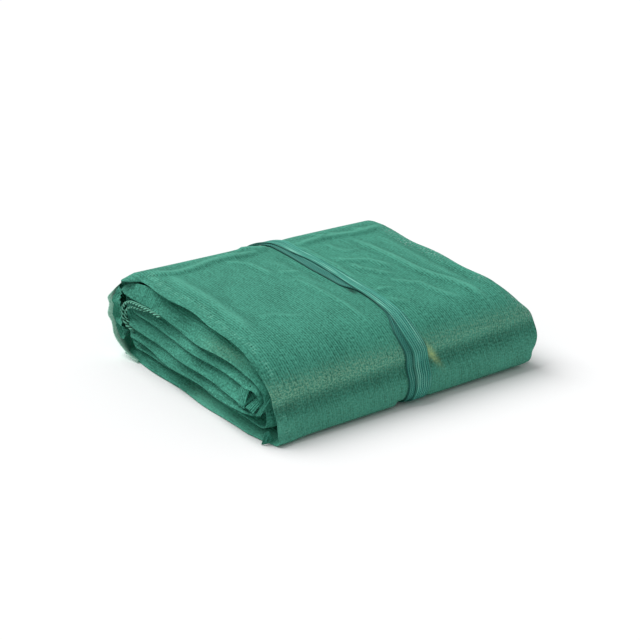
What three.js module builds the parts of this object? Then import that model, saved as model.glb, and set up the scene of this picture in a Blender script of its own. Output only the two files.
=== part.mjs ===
// A large harvest net, folded lengthwise into a strip of many plies. The strip is folded round itself
// into a flat bundle of seven courses, and a narrow band of net is wound twice round the bundle.
// Millimetres, +Z up. The open ends of the folds are at -X and +X, the smooth front face is at -Y,
// and the bundle lies on Z = 0 with the middle of its outer box over the origin.
import * as THREE from 'three';

// Driving sizes of the bundle before it settles: a straight bundle of level courses.
const BUNDLE_HEIGHT = 175;
const FRONT_EDGE = -257;
const BACK_EDGE = 291;
const PACK_THICKNESS = 21;
const COURSE_COUNT = 7;
const PITCH = (BUNDLE_HEIGHT - PACK_THICKNESS) / (COURSE_COUNT - 1);
const HALF_PACK = PACK_THICKNESS / 2;

// The rounded turns at the front and back: how far out the outermost one goes, and how square the
// upper and lower halves are, from the outermost turn to the innermost. An exponent of 2 is an
// ellipse, and a higher one is squarer.
const TURNS = {
  front: { side: -1, edge: FRONT_EDGE, depth: 78, upper: [2.3, 2.15, 2], lower: [8, 4, 2.1] },
  back: { side: 1, edge: BACK_EDGE, depth: 76, upper: [2.2, 2.1, 2], lower: [2.2, 2.1, 2] },
};
const LOWER_BACK_SQUARENESS = 1.6;
const INNER_END = -172;
const OUTER_END = 252;
const EDGE_ROUNDING = 0.6;

// The ends of each course, from the floor up, where the plies' folds lie at -X and +X, how much
// further the +X end reaches at the front, and how the ends ripple.
const COURSES = [
  { name: 'bottom', left: -303, right: 302, flare: 6, ripple: 2, phase: 0.4 },
  { name: 'second', left: -305, right: 311, flare: 14, ripple: 3, phase: 1.9 },
  { name: 'third', left: -308, right: 316, flare: 14, ripple: 3, phase: 3.1 },
  { name: 'core', left: -306, right: 317, flare: 14, ripple: 4, phase: 4.4 },
  { name: 'fifth', left: -299, right: 314, flare: 14, ripple: 4, phase: 5.2 },
  { name: 'sixth', left: -296, right: 309, flare: 12, ripple: 4, phase: 0.2 },
  { name: 'top', left: -289, right: 303, flare: 2, ripple: 5, phase: 1.2 },
];

// The facets along the outermost turns, which the tie follows one for one.
const FRONT_FACETS = 13;
const BACK_FACETS = 10;

// The way of the strip from its inner end out: a course, and the turn that ends it.
// A turn's ring counts the turns that lie round it, and its steps are the facets along it.
const WAY = [
  { course: 3, turn: 'back', ring: 2, steps: 6, left: -302, right: 312 },
  { course: 4, turn: 'front', ring: 2, steps: 7, left: -296, right: 326 },
  { course: 2, turn: 'back', ring: 1, steps: 8, left: -303, right: 312 },
  { course: 5, turn: 'front', ring: 1, steps: 8, left: -290, right: 330 },
  { course: 1, turn: 'back', ring: 0, steps: BACK_FACETS, left: -313, right: 311 },
  { course: 6, turn: 'front', ring: 0, steps: FRONT_FACETS, left: -282, right: 336 },
  { course: 0, turn: null },
];
const COURSE_STEPS = 6;
const TOP_COURSE_STEPS = 9;
const LONGEST_TURN = 1.15;

// The rounded, drooping end of a pack of folded plies: it thins over its last stretch, and its
// lower lip stands furthest out. The distances are measured in from that lip.
const NOSE_DEPTH = 18;
const NOSE_STATIONS = [0, 2, 7, 18];
const LIP_THICKNESS = 2.4;
const RIPPLE_LENGTH = 190;
const FLARE_FROM_Y = -70;
const FLARE_TO_Y = -190;

// The settled top of the bundle, from back to front, at its left and right ends. The front
// shoulder lies lower, and more so at the left.
const TOP_PROFILE = [
  { y: 290, left: 171, right: 175 },
  { y: 195, left: 171, right: 175 },
  { y: 100, left: 170, right: 171 },
  { y: 0, left: 166, right: 166 },
  { y: -90, left: 161, right: 160 },
  { y: -150, left: 151, right: 153 },
  { y: -205, left: 135, right: 143 },
  { y: -257, left: 117, right: 133 },
];
const HALF_LENGTH = 305;

// Soft hollows and swells of the top, each a centre, its reach along X and Y, and its height.
const TOP_SWELLS = [
  { x: -235, y: 60, reachX: 70, reachY: 110, height: 3 },
  { x: -120, y: -60, reachX: 90, reachY: 60, height: -3 },
  { x: 150, y: 30, reachX: 80, reachY: 90, height: 3 },
  { x: 200, y: -130, reachX: 60, reachY: 60, height: -3 },
  { x: -60, y: 150, reachX: 90, reachY: 50, height: -2 },
];

// The relief of the front face below its crest, inwards and outwards: a shallow valley, and the
// fuller foot under it.
const FRONT_RELIEF = [
  { inwards: 5, leftZ: 66, rightZ: 84, reach: 20 },
  { inwards: -13, leftZ: 20, rightZ: 20, reach: 28 },
];
const RELIEF_FROM_Y = -150;

// The tie is a band of net with its thickness and clearance, wound twice. Its groove lets the
// bundle rest on its own flat underside.
const BAND_THICKNESS = 2.4;
const BAND_EDGE = 1;
const BAND_CLEARANCE = 0.8;
const LAP_CLEARANCE = 0.5;
const GROOVE = { x: 15, halfWidth: 31, ramp: 12, depth: 6.4 };
const TIE_TROUGH = { x: 38, reach: 34, depth: 4 };

// The band's middle on its first and second time round, and its width, at places round the
// bundle: 0 to 1 under the front half, to 2 up the front, to 3 back along the top, to 4 down the
// back, and to 5 under the back half.
const BAND_PLACES = [
  { at: 0, first: 12, second: 12, width: 30 },
  { at: 1, first: 8, second: 24, width: 30 },
  { at: 1.25, first: 18, second: 38, width: 32 },
  { at: 1.5, first: 27, second: 49, width: 34 },
  { at: 1.75, first: 25, second: 41, width: 34 },
  { at: 2, first: 34, second: 36, width: 32 },
  { at: 2.2, first: 33, second: 31, width: 30 },
  { at: 2.35, first: 25, second: 32, width: 28 },
  { at: 2.6, first: 23, second: 38, width: 27 },
  { at: 2.85, first: 35, second: 47, width: 26 },
  { at: 3, first: 38, second: 51, width: 28 },
  { at: 3.25, first: 8, second: 20, width: 30 },
  { at: 3.5, first: -6, second: 4, width: 30 },
  { at: 4, first: 2, second: 6, width: 30 },
  { at: 5, first: 12, second: 12, width: 30 },
];
const UNDERSIDE_STEPS = 4;
const LOWER_BACK_STEPS = 6;
const PLACES_ROUND = 5;
const LAP_RISE_FROM = 4.5;
const BAND_END = 9.35;

// Where stations lie along the bundle between its two ends, closer together beside the groove.
const STATION_POSITIONS = [
  -258, -200, -140, -85, -28, -16, 4, 26, 46, 58, 80, 115, 165, 215, 268,
];

const netMaterial = new THREE.MeshStandardMaterial({ color: 0x4e937e, roughness: 0.82, metalness: 0 });
const bandMaterial = new THREE.MeshStandardMaterial({ color: 0x3b7766, roughness: 0.78, metalness: 0 });

function smoothStep(value) {
  const t = Math.min(Math.max(value, 0), 1);
  return t * t * (3 - 2 * t);
}

function bell(distance, reach) {
  return Math.exp(-(distance * distance) / (reach * reach));
}

// A value from a table's column, on a smooth curve through its rows.
function rowValue(rows, key, at, column) {
  const rising = rows[rows.length - 1][key] > rows[0][key];
  const place = rising ? at : -at;
  const keys = rows.map((row) => (rising ? row[key] : -row[key]));
  let i = 0;
  while (i < rows.length - 2 && place > keys[i + 1]) {
    i += 1;
  }
  const span = keys[i + 1] - keys[i];
  const t = Math.min(Math.max((place - keys[i]) / span, 0), 1);
  const slope = (k) => {
    const low = Math.max(k - 1, 0);
    const high = Math.min(k + 1, rows.length - 1);
    return (rows[high][column] - rows[low][column]) / (keys[high] - keys[low]);
  };
  const from = rows[i][column];
  const to = rows[i + 1][column];
  const ease = smoothStep(t);
  const bowOut = slope(i) * span * t * (1 - t) * (1 - t);
  const bowIn = slope(i + 1) * span * t * t * (1 - t);
  return from + (to - from) * ease + bowOut - bowIn;
}

// The settled height of the top over a place of the bundle.
function topHeight(x, y) {
  const along = smoothStep((x + HALF_LENGTH) / (2 * HALF_LENGTH));
  const left = rowValue(TOP_PROFILE, 'y', y, 'left');
  const right = rowValue(TOP_PROFILE, 'y', y, 'right');
  let height = left + (right - left) * along;
  for (const swell of TOP_SWELLS) {
    height += swell.height * bell(x - swell.x, swell.reachX) * bell(y - swell.y, swell.reachY);
  }
  return height - TIE_TROUGH.depth * bell(x - TIE_TROUGH.x, TIE_TROUGH.reach);
}

// Settles a point of the straight bundle: the top sinks to its profile and takes the courses with
// it, the underside is lifted over the tie, and the front face takes its valley.
function settle(x, y, z) {
  const sunk = (z * topHeight(x, y)) / BUNDLE_HEIGHT;
  const offGroove = Math.abs(x - GROOVE.x) - GROOVE.halfWidth;
  const lift = GROOVE.depth * (1 - smoothStep(offGroove / GROOVE.ramp));
  const settledZ = lift + sunk * (1 - lift / BUNDLE_HEIGHT);
  const along = (x + HALF_LENGTH) / (2 * HALF_LENGTH);
  const towardsFront = smoothStep((y - RELIEF_FROM_Y) / (FRONT_EDGE - RELIEF_FROM_Y));
  let settledY = y;
  for (const relief of FRONT_RELIEF) {
    const middle = relief.leftZ + (relief.rightZ - relief.leftZ) * along;
    settledY += relief.inwards * bell(settledZ - middle, relief.reach) * towardsFront;
  }
  return [x, settledY, settledZ];
}

function courseHeight(course) {
  return HALF_PACK + course * PITCH;
}

// The turn between two courses: where it starts, how far out it goes, and its two heights.
function turnBetween(turn, ring, course, next) {
  const fromZ = courseHeight(course);
  const toZ = courseHeight(next);
  const half = Math.abs(toZ - fromZ) / 2;
  const depth = Math.min(turn.depth - ring * PITCH, LONGEST_TURN * half);
  const reach = turn.edge - turn.side * (HALF_PACK + ring * PITCH);
  const start = reach - turn.side * depth;
  return { side: turn.side, start, depth, fromZ, toZ, upper: turn.upper[ring], lower: turn.lower[ring] };
}

// A point on a turn, at an angle from 0 where it starts to PI where it ends.
function turnPoint(bend, angle) {
  const middle = (bend.fromZ + bend.toZ) / 2;
  const half = (bend.fromZ - bend.toZ) / 2;
  const isUpper = half * Math.cos(angle) > 0;
  const power = 2 / (isUpper ? bend.upper : bend.lower);
  const out = Math.pow(Math.sin(angle), power);
  const rise = Math.sign(Math.cos(angle)) * Math.pow(Math.abs(Math.cos(angle)), power);
  return { y: bend.start + bend.side * bend.depth * out, z: middle + half * rise };
}

// The X of a course's two ends at a place along it.
function courseEnds(course, y) {
  const ripple = course.ripple * Math.sin((y / RIPPLE_LENGTH) * 2 * Math.PI + course.phase);
  const flare = course.flare * smoothStep((y - FLARE_FROM_Y) / (FLARE_TO_Y - FLARE_FROM_Y));
  return { left: course.left + ripple, right: course.right + ripple + flare };
}

// The middle line of the folded strip in the straight bundle, from its inner to its outer end,
// each point with the X of the strip's two ends there.
function stripLine() {
  const line = [];
  let y = INNER_END;
  WAY.forEach((leg, index) => {
    const course = COURSES[leg.course];
    const z = courseHeight(leg.course);
    const next = WAY[index + 1];
    const bend = leg.turn ? turnBetween(TURNS[leg.turn], leg.ring, leg.course, next.course) : null;
    const end = bend ? bend.start : OUTER_END;
    const steps = leg.course === COURSE_COUNT - 1 ? TOP_COURSE_STEPS : COURSE_STEPS;
    for (let i = index === 0 ? 0 : 1; i <= steps; i += 1) {
      const place = y + ((end - y) * i) / steps;
      line.push({ y: place, z, ...courseEnds(course, place) });
    }
    if (!bend) {
      return;
    }
    const before = line[line.length - 1];
    const after = courseEnds(COURSES[next.course], end);
    for (let i = 1; i <= leg.steps; i += 1) {
      const share = i / leg.steps;
      const point = turnPoint(bend, share * Math.PI);
      const outmost = Math.sin(share * Math.PI);
      const left = before.left + (after.left - before.left) * share;
      const right = before.right + (after.right - before.right) * share;
      point.left = left + (leg.left - left) * outmost;
      point.right = right + (leg.right - right) * outmost;
      line.push(point);
    }
    y = end;
  });
  return line;
}

// The unit direction across the strip at each point of its middle line.
function lineNormals(line) {
  return line.map((point, i) => {
    const before = line[Math.max(i - 1, 0)];
    const after = line[Math.min(i + 1, line.length - 1)];
    const across = new THREE.Vector2(-(after.z - before.z), after.y - before.y);
    return across.normalize();
  });
}

// Stations along the strip, each with a rule for its X and the strip's thickness there.
function stripStations() {
  const noses = NOSE_STATIONS.map((inset) => {
    const off = 1 - inset / NOSE_DEPTH;
    const swell = Math.sqrt(Math.max(1 - off * off, 0));
    return { inset, thickness: LIP_THICKNESS + (PACK_THICKNESS - LIP_THICKNESS) * swell };
  });
  const leftNose = noses.map((nose) => ({
    x: (point) => point.left + nose.inset,
    thickness: nose.thickness,
  }));
  const body = STATION_POSITIONS.map((position) => ({
    x: () => position,
    thickness: PACK_THICKNESS,
  }));
  const rightNose = noses.reverse().map((nose) => ({
    x: (point) => point.right - nose.inset,
    thickness: nose.thickness,
  }));
  return [...leftNose, ...body, ...rightNose];
}

// A closed body from rings of points: each ring is a loop of the same count, and the two end
// rings are closed by strips of faces between their two sides.
function ringsGeometry(rings) {
  const count = rings[0].length;
  const positions = rings.flat(2);
  const index = [];
  for (let r = 0; r < rings.length - 1; r += 1) {
    for (let i = 0; i < count; i += 1) {
      const a = r * count + i;
      const b = r * count + ((i + 1) % count);
      index.push(a, b, b + count);
      index.push(a, b + count, a + count);
    }
  }
  const last = (rings.length - 1) * count;
  for (let i = 0; i < count / 2 - 1; i += 1) {
    const near = [i, i + 1, count - 2 - i, count - 1 - i];
    index.push(near[0], near[2], near[1]);
    index.push(near[0], near[3], near[2]);
    index.push(last + near[0], last + near[1], last + near[2]);
    index.push(last + near[0], last + near[2], last + near[3]);
  }
  const geometry = new THREE.BufferGeometry();
  geometry.setAttribute('position', new THREE.Float32BufferAttribute(positions, 3));
  geometry.setIndex(index);
  geometry.computeVertexNormals();
  return geometry;
}

// The folded net: one strip of even thickness, folded through the bundle and settled.
function netRings() {
  const line = stripLine();
  const normals = lineNormals(line);
  const lastPoint = line.length - 1;
  return stripStations().map((station) => {
    const droop = (PACK_THICKNESS - station.thickness) / 2;
    const half = station.thickness / 2;
    const sidePoint = (i, side) => {
      const point = line[i];
      const y = point.y + side * half * normals[i].x;
      const z = point.z - droop + side * half * normals[i].y;
      return settle(station.x(point), y, z);
    };
    const oneSide = line.map((point, i) => sidePoint(i, -1));
    const otherSide = line.map((point, i) => sidePoint(i, 1)).reverse();
    const edgePoint = (i, outwards) => {
      const point = line[i];
      return settle(station.x(point), point.y + outwards * half * EDGE_ROUNDING, point.z - droop);
    };
    return [...oneSide, edgePoint(lastPoint, 1), ...otherSide, edgePoint(0, -1)];
  });
}

// Once round the outside of the straight bundle, from the middle of the underside forwards: points
// on the middle line of the outermost pack, each with its place in the band's table.
function outerRoute() {
  const low = courseHeight(0);
  const high = courseHeight(COURSE_COUNT - 1);
  const front = turnBetween(TURNS.front, 0, 0, COURSE_COUNT - 1);
  const back = turnBetween(TURNS.back, 0, COURSE_COUNT - 1, 1);
  const backMiddle = (back.fromZ + back.toZ) / 2;
  const lowerBack = {
    ...back,
    start: OUTER_END,
    depth: back.start + back.depth - OUTER_END,
    fromZ: 2 * backMiddle - low,
    toZ: low,
    lower: LOWER_BACK_SQUARENESS,
  };
  const route = [];
  const stretch = (at, span, steps, pointAt) => {
    for (let i = 0; i < steps; i += 1) {
      route.push({ at: at + (i / steps) * span, ...pointAt(i / steps) });
    }
  };
  const topPoint = (t) => ({ y: front.start + (back.start - front.start) * t, z: high });
  stretch(0, 1, UNDERSIDE_STEPS, (t) => ({ y: front.start * t, z: low }));
  stretch(1, 1, FRONT_FACETS, (t) => turnPoint(front, t * Math.PI));
  stretch(2, 1, TOP_COURSE_STEPS, topPoint);
  stretch(3, 0.5, BACK_FACETS / 2, (t) => turnPoint(back, (t * Math.PI) / 2));
  stretch(3.5, 0.5, LOWER_BACK_STEPS, (t) => turnPoint(lowerBack, ((1 + t) * Math.PI) / 2));
  stretch(4, 1, UNDERSIDE_STEPS, (t) => ({ y: OUTER_END * (1 - t), z: low }));
  return route;
}

// The tie: one flat band wound twice, the second time over the first and a little beside it.
function bandRings() {
  const once = outerRoute();
  const second = once.map((point) => ({ ...point, at: point.at + PLACES_ROUND }));
  const route = [...once, ...second].filter((point) => point.at <= BAND_END);
  const normals = lineNormals(route);
  const lapRise = BAND_THICKNESS + LAP_CLEARANCE;
  const innerOut = HALF_PACK + BAND_CLEARANCE + BAND_THICKNESS / 2;
  return route.map((point, i) => {
    const time = point.at < PLACES_ROUND ? 'first' : 'second';
    const at = point.at % PLACES_ROUND;
    const rise = smoothStep((point.at - LAP_RISE_FROM) / (PLACES_ROUND - LAP_RISE_FROM));
    const middleOut = innerOut + lapRise * rise;
    const x = rowValue(BAND_PLACES, 'at', at, time);
    const halfWidth = rowValue(BAND_PLACES, 'at', at, 'width') / 2;
    const flat = halfWidth - BAND_EDGE;
    const thick = BAND_THICKNESS / 2;
    const section = [
      [-halfWidth, 0],
      [-flat, thick],
      [flat, thick],
      [halfWidth, 0],
      [flat, -thick],
      [-flat, -thick],
    ];
    return section.map(([across, out]) => {
      const y = point.y + normals[i].x * (middleOut + out);
      const z = point.z + normals[i].y * (middleOut + out);
      return settle(x + across, y, z);
    });
  });
}

const net = new THREE.Mesh(ringsGeometry(netRings()), netMaterial);
net.name = 'net';
const tie = new THREE.Mesh(ringsGeometry(bandRings()), bandMaterial);
tie.name = 'tie';

const bundle = new THREE.Group();
bundle.add(net, tie);
const box = new THREE.Box3().setFromObject(bundle);
bundle.position.set(-(box.min.x + box.max.x) / 2, -(box.min.y + box.max.y) / 2, -box.min.z);

export default bundle;
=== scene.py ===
"""The looks of a large harvest net, folded lengthwise, rolled into a flat bundle and bound.

Sizes are millimetres in the bundle's own frame, with X along the folds, the front at -Y and Z up.
A mesh is made in metres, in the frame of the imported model.
"""

import logging
import math
from dataclasses import dataclass, field, fields
from enum import Enum, IntEnum
from typing import Any, Callable, Sequence

import bpy
import numpy as np
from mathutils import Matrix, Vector


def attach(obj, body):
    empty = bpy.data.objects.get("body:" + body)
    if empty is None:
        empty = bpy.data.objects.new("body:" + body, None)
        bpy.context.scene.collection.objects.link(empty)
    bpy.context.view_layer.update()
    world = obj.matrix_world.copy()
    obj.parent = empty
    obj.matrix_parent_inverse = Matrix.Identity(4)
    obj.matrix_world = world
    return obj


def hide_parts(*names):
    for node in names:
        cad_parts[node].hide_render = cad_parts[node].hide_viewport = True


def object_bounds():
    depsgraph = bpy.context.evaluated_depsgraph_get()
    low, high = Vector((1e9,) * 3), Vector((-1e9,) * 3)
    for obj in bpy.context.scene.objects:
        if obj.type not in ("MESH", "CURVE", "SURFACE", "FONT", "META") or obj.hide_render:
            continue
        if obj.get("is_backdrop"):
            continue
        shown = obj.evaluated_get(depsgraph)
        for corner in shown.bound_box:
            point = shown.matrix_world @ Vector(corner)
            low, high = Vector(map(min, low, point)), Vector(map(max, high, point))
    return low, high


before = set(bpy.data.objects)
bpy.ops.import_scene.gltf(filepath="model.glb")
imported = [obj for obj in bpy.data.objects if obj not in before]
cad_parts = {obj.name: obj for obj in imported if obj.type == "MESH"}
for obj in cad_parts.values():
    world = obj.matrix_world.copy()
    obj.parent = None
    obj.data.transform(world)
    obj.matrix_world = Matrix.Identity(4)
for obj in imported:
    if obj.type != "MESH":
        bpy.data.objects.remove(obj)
cad_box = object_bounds()

logging.basicConfig(level=logging.INFO, format="%(message)s")
log = logging.getLogger("net")

MODEL_SHIFT = (-11.403, -11.280, 0.0)
METRES = 0.001
MILLIMETRES = 1000.0
ONCE_ROUND = 5.0
SMALL = 1e-9

Array = np.ndarray
Material = bpy.types.Material
Piece = bpy.types.Object
Colour = tuple[float, float, float]
Pair = tuple[float, float]
Rows = tuple[tuple[float, ...], ...]


def smooth_step(value: Any) -> Array:
    """Eases from 0 to 1 as value goes from 0 to 1."""
    t = np.clip(value, 0.0, 1.0)
    return t * t * (3.0 - 2.0 * t)


def ease(value: Any, start: Any, end: Any) -> Array:
    """Eases from 0 to 1 as a value goes from start to end, whichever is the lower."""
    return smooth_step((value - start) / (end - start))


def bell(distance: Any, reach: float) -> Array:
    """A bell curve of height 1."""
    return np.exp(-np.square(np.asarray(distance, float) / reach))


def add_up(steps: Array, axis: int = 0) -> Array:
    """The running sum of steps along an axis, from 0."""
    return np.insert(np.cumsum(steps, axis=axis), 0, 0.0, axis=axis)


def there_and_back(values: Array) -> Array:
    """Values out along one face of the strip and back along the other, one more at each end."""
    return np.concatenate([values, values[-1:], values[::-1], values[:1]])


class Curve:
    """A smooth curve through rows of a place and a value, level beyond both ends."""

    def __init__(self, rows: Sequence[Sequence[float]], column: int = 1) -> None:
        """Keeps the rows in rising order.

        Args:
            rows: each a place, and values by column.
            column: the column that the curve goes through.
        """
        ordered = sorted(rows, key=lambda row: row[0])
        self.places = np.array([row[0] for row in ordered], float)
        self.values = np.array([row[column] for row in ordered], float)
        steps = np.diff(self.values) / np.diff(self.places)
        inner = (self.values[2:] - self.values[:-2]) / (self.places[2:] - self.places[:-2])
        self.slopes = np.concatenate([steps[:1], inner, steps[-1:]])

    def at(self, place: Any) -> Array:
        """Follows the curve.

        Args:
            place: one or more places.

        Returns:
            The curve's value at each.
        """
        place = np.asarray(place, float)
        i = np.clip(np.searchsorted(self.places, place) - 1, 0, len(self.places) - 2)
        span = self.places[i + 1] - self.places[i]
        t = np.clip((place - self.places[i]) / span, 0.0, 1.0)
        rise = (self.values[i + 1] - self.values[i]) * smooth_step(t)
        bow_out = self.slopes[i] * span * t * (1 - t) ** 2
        bow_in = self.slopes[i + 1] * span * t * t * (1 - t)
        return self.values[i] + rise + bow_out - bow_in


def follow(rows: Sequence[Sequence[float]], place: Any) -> list[Array]:
    """Every column of a table of a place and values, followed smoothly to one or more places."""
    return [Curve(rows, column).at(place) for column in range(1, len(rows[0]))]


class Side(Enum):
    """The side of the bundle that a turn is on, and the way in Y that it faces."""

    FRONT = -1
    BACK = 1


class Level(IntEnum):
    """The bundle's courses, from the ground up."""

    BOTTOM = 0
    SECOND = 1
    THIRD = 2
    CORE = 3
    FIFTH = 4
    SIXTH = 5
    TOP = 6


@dataclass(frozen=True)
class Course:
    """One level run of the folded strip, and how its two open ends lie.

    left_lip and right_lip are rows of a Y, the lip's lift in Z and its shift in X.
    """

    left: float
    right: float
    flare: float
    ripple: float
    phase: float
    left_lip: Rows = ((-260, 0, 0), (260, 0, 0))
    right_lip: Rows = ((-260, 0, 0), (260, 0, 0))


@dataclass(frozen=True)
class Turn:
    """A rounded turn at the front or back: its squareness goes from its outer ring inwards."""

    side: Side
    edge: float
    depth: float
    upper: tuple[float, ...]
    lower: tuple[float, ...]


@dataclass(frozen=True)
class Leg:
    """A stretch of the strip: a course, and the turn that ends it with the X of its two lips.

    step and turn_step are the distances between points on the course and on the turn. left_shift
    and right_shift are rows of a share of the turn, and the shift of that lip in X.
    """

    course: Level
    turn: Side | None = None
    ring: int = 0
    left: float = 0.0
    right: float = 0.0
    step: float = 14.0
    turn_step: float = 9.0
    left_shift: Rows = ((0, 0), (1, 0))
    right_shift: Rows = ((0, 0), (1, 0))


@dataclass(frozen=True)
class Bend:
    """One turn between two courses, ready to be followed."""

    side: int
    start: float
    depth: float
    from_z: float
    to_z: float
    upper: float
    lower: float
    fine_count: int = 4001

    def point(self, share: Any) -> tuple[Array, Array]:
        """The Y and Z at a share of the turn's length.

        Args:
            share: one or more shares, 0 where the turn starts.

        Returns:
            The Y and the Z there.
        """
        table = np.linspace(0, math.pi, self.fine_count)
        y, z = self.at_angle(table)
        run = add_up(np.hypot(np.diff(y), np.diff(z)))
        place = np.asarray(share, float) * run[-1]
        return np.interp(place, run, y), np.interp(place, run, z)

    def at_angle(self, angle: Array) -> tuple[Array, Array]:
        """The Y and Z at angles.

        Args:
            angle: the angles, from 0, where the turn starts, to pi.

        Returns:
            The Y and the Z there.
        """
        middle = (self.from_z + self.to_z) / 2
        half = (self.from_z - self.to_z) / 2
        cosine = np.cos(angle)
        power = 2.0 / np.where(half * cosine > 0, self.upper, self.lower)
        out = np.power(np.clip(np.sin(angle), 0, 1), power)
        rise = np.sign(cosine) * np.power(np.abs(cosine), power)
        return self.start + self.side * self.depth * out, middle + half * rise


@dataclass
class Line:
    """The middle line of the folded strip, and what each of its points needs for a mesh."""

    y: Array
    z: Array
    left: Array
    right: Array
    left_lift: Array
    right_lift: Array
    outer: Array
    close: Array

    def cut(self, first: int, last: int) -> "Line":
        """The part of the line from one point up to, but not with, another."""
        return Line(*[getattr(self, part.name)[first:last] for part in fields(self)])

    def normals(self) -> tuple[Array, Array]:
        """The unit direction across the strip at each point, as its Y and Z."""
        return line_normals(self.y, self.z)

    def run(self) -> Array:
        """The length along the strip at each point."""
        return add_up(np.hypot(np.diff(self.y), np.diff(self.z)))


def line_normals(y: Array, z: Array) -> tuple[Array, Array]:
    """The unit direction across a line in the Y and Z plane.

    Args:
        y: the line's Y values.
        z: the line's Z values.

    Returns:
        The Y and the Z of each direction.
    """
    last = len(y) - 1
    after = np.minimum(np.arange(len(y)) + 1, last)
    before = np.maximum(np.arange(len(y)) - 1, 0)
    across_y = -(z[after] - z[before])
    across_z = y[after] - y[before]
    size = np.hypot(across_y, across_z)
    return across_y / size, across_z / size


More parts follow.
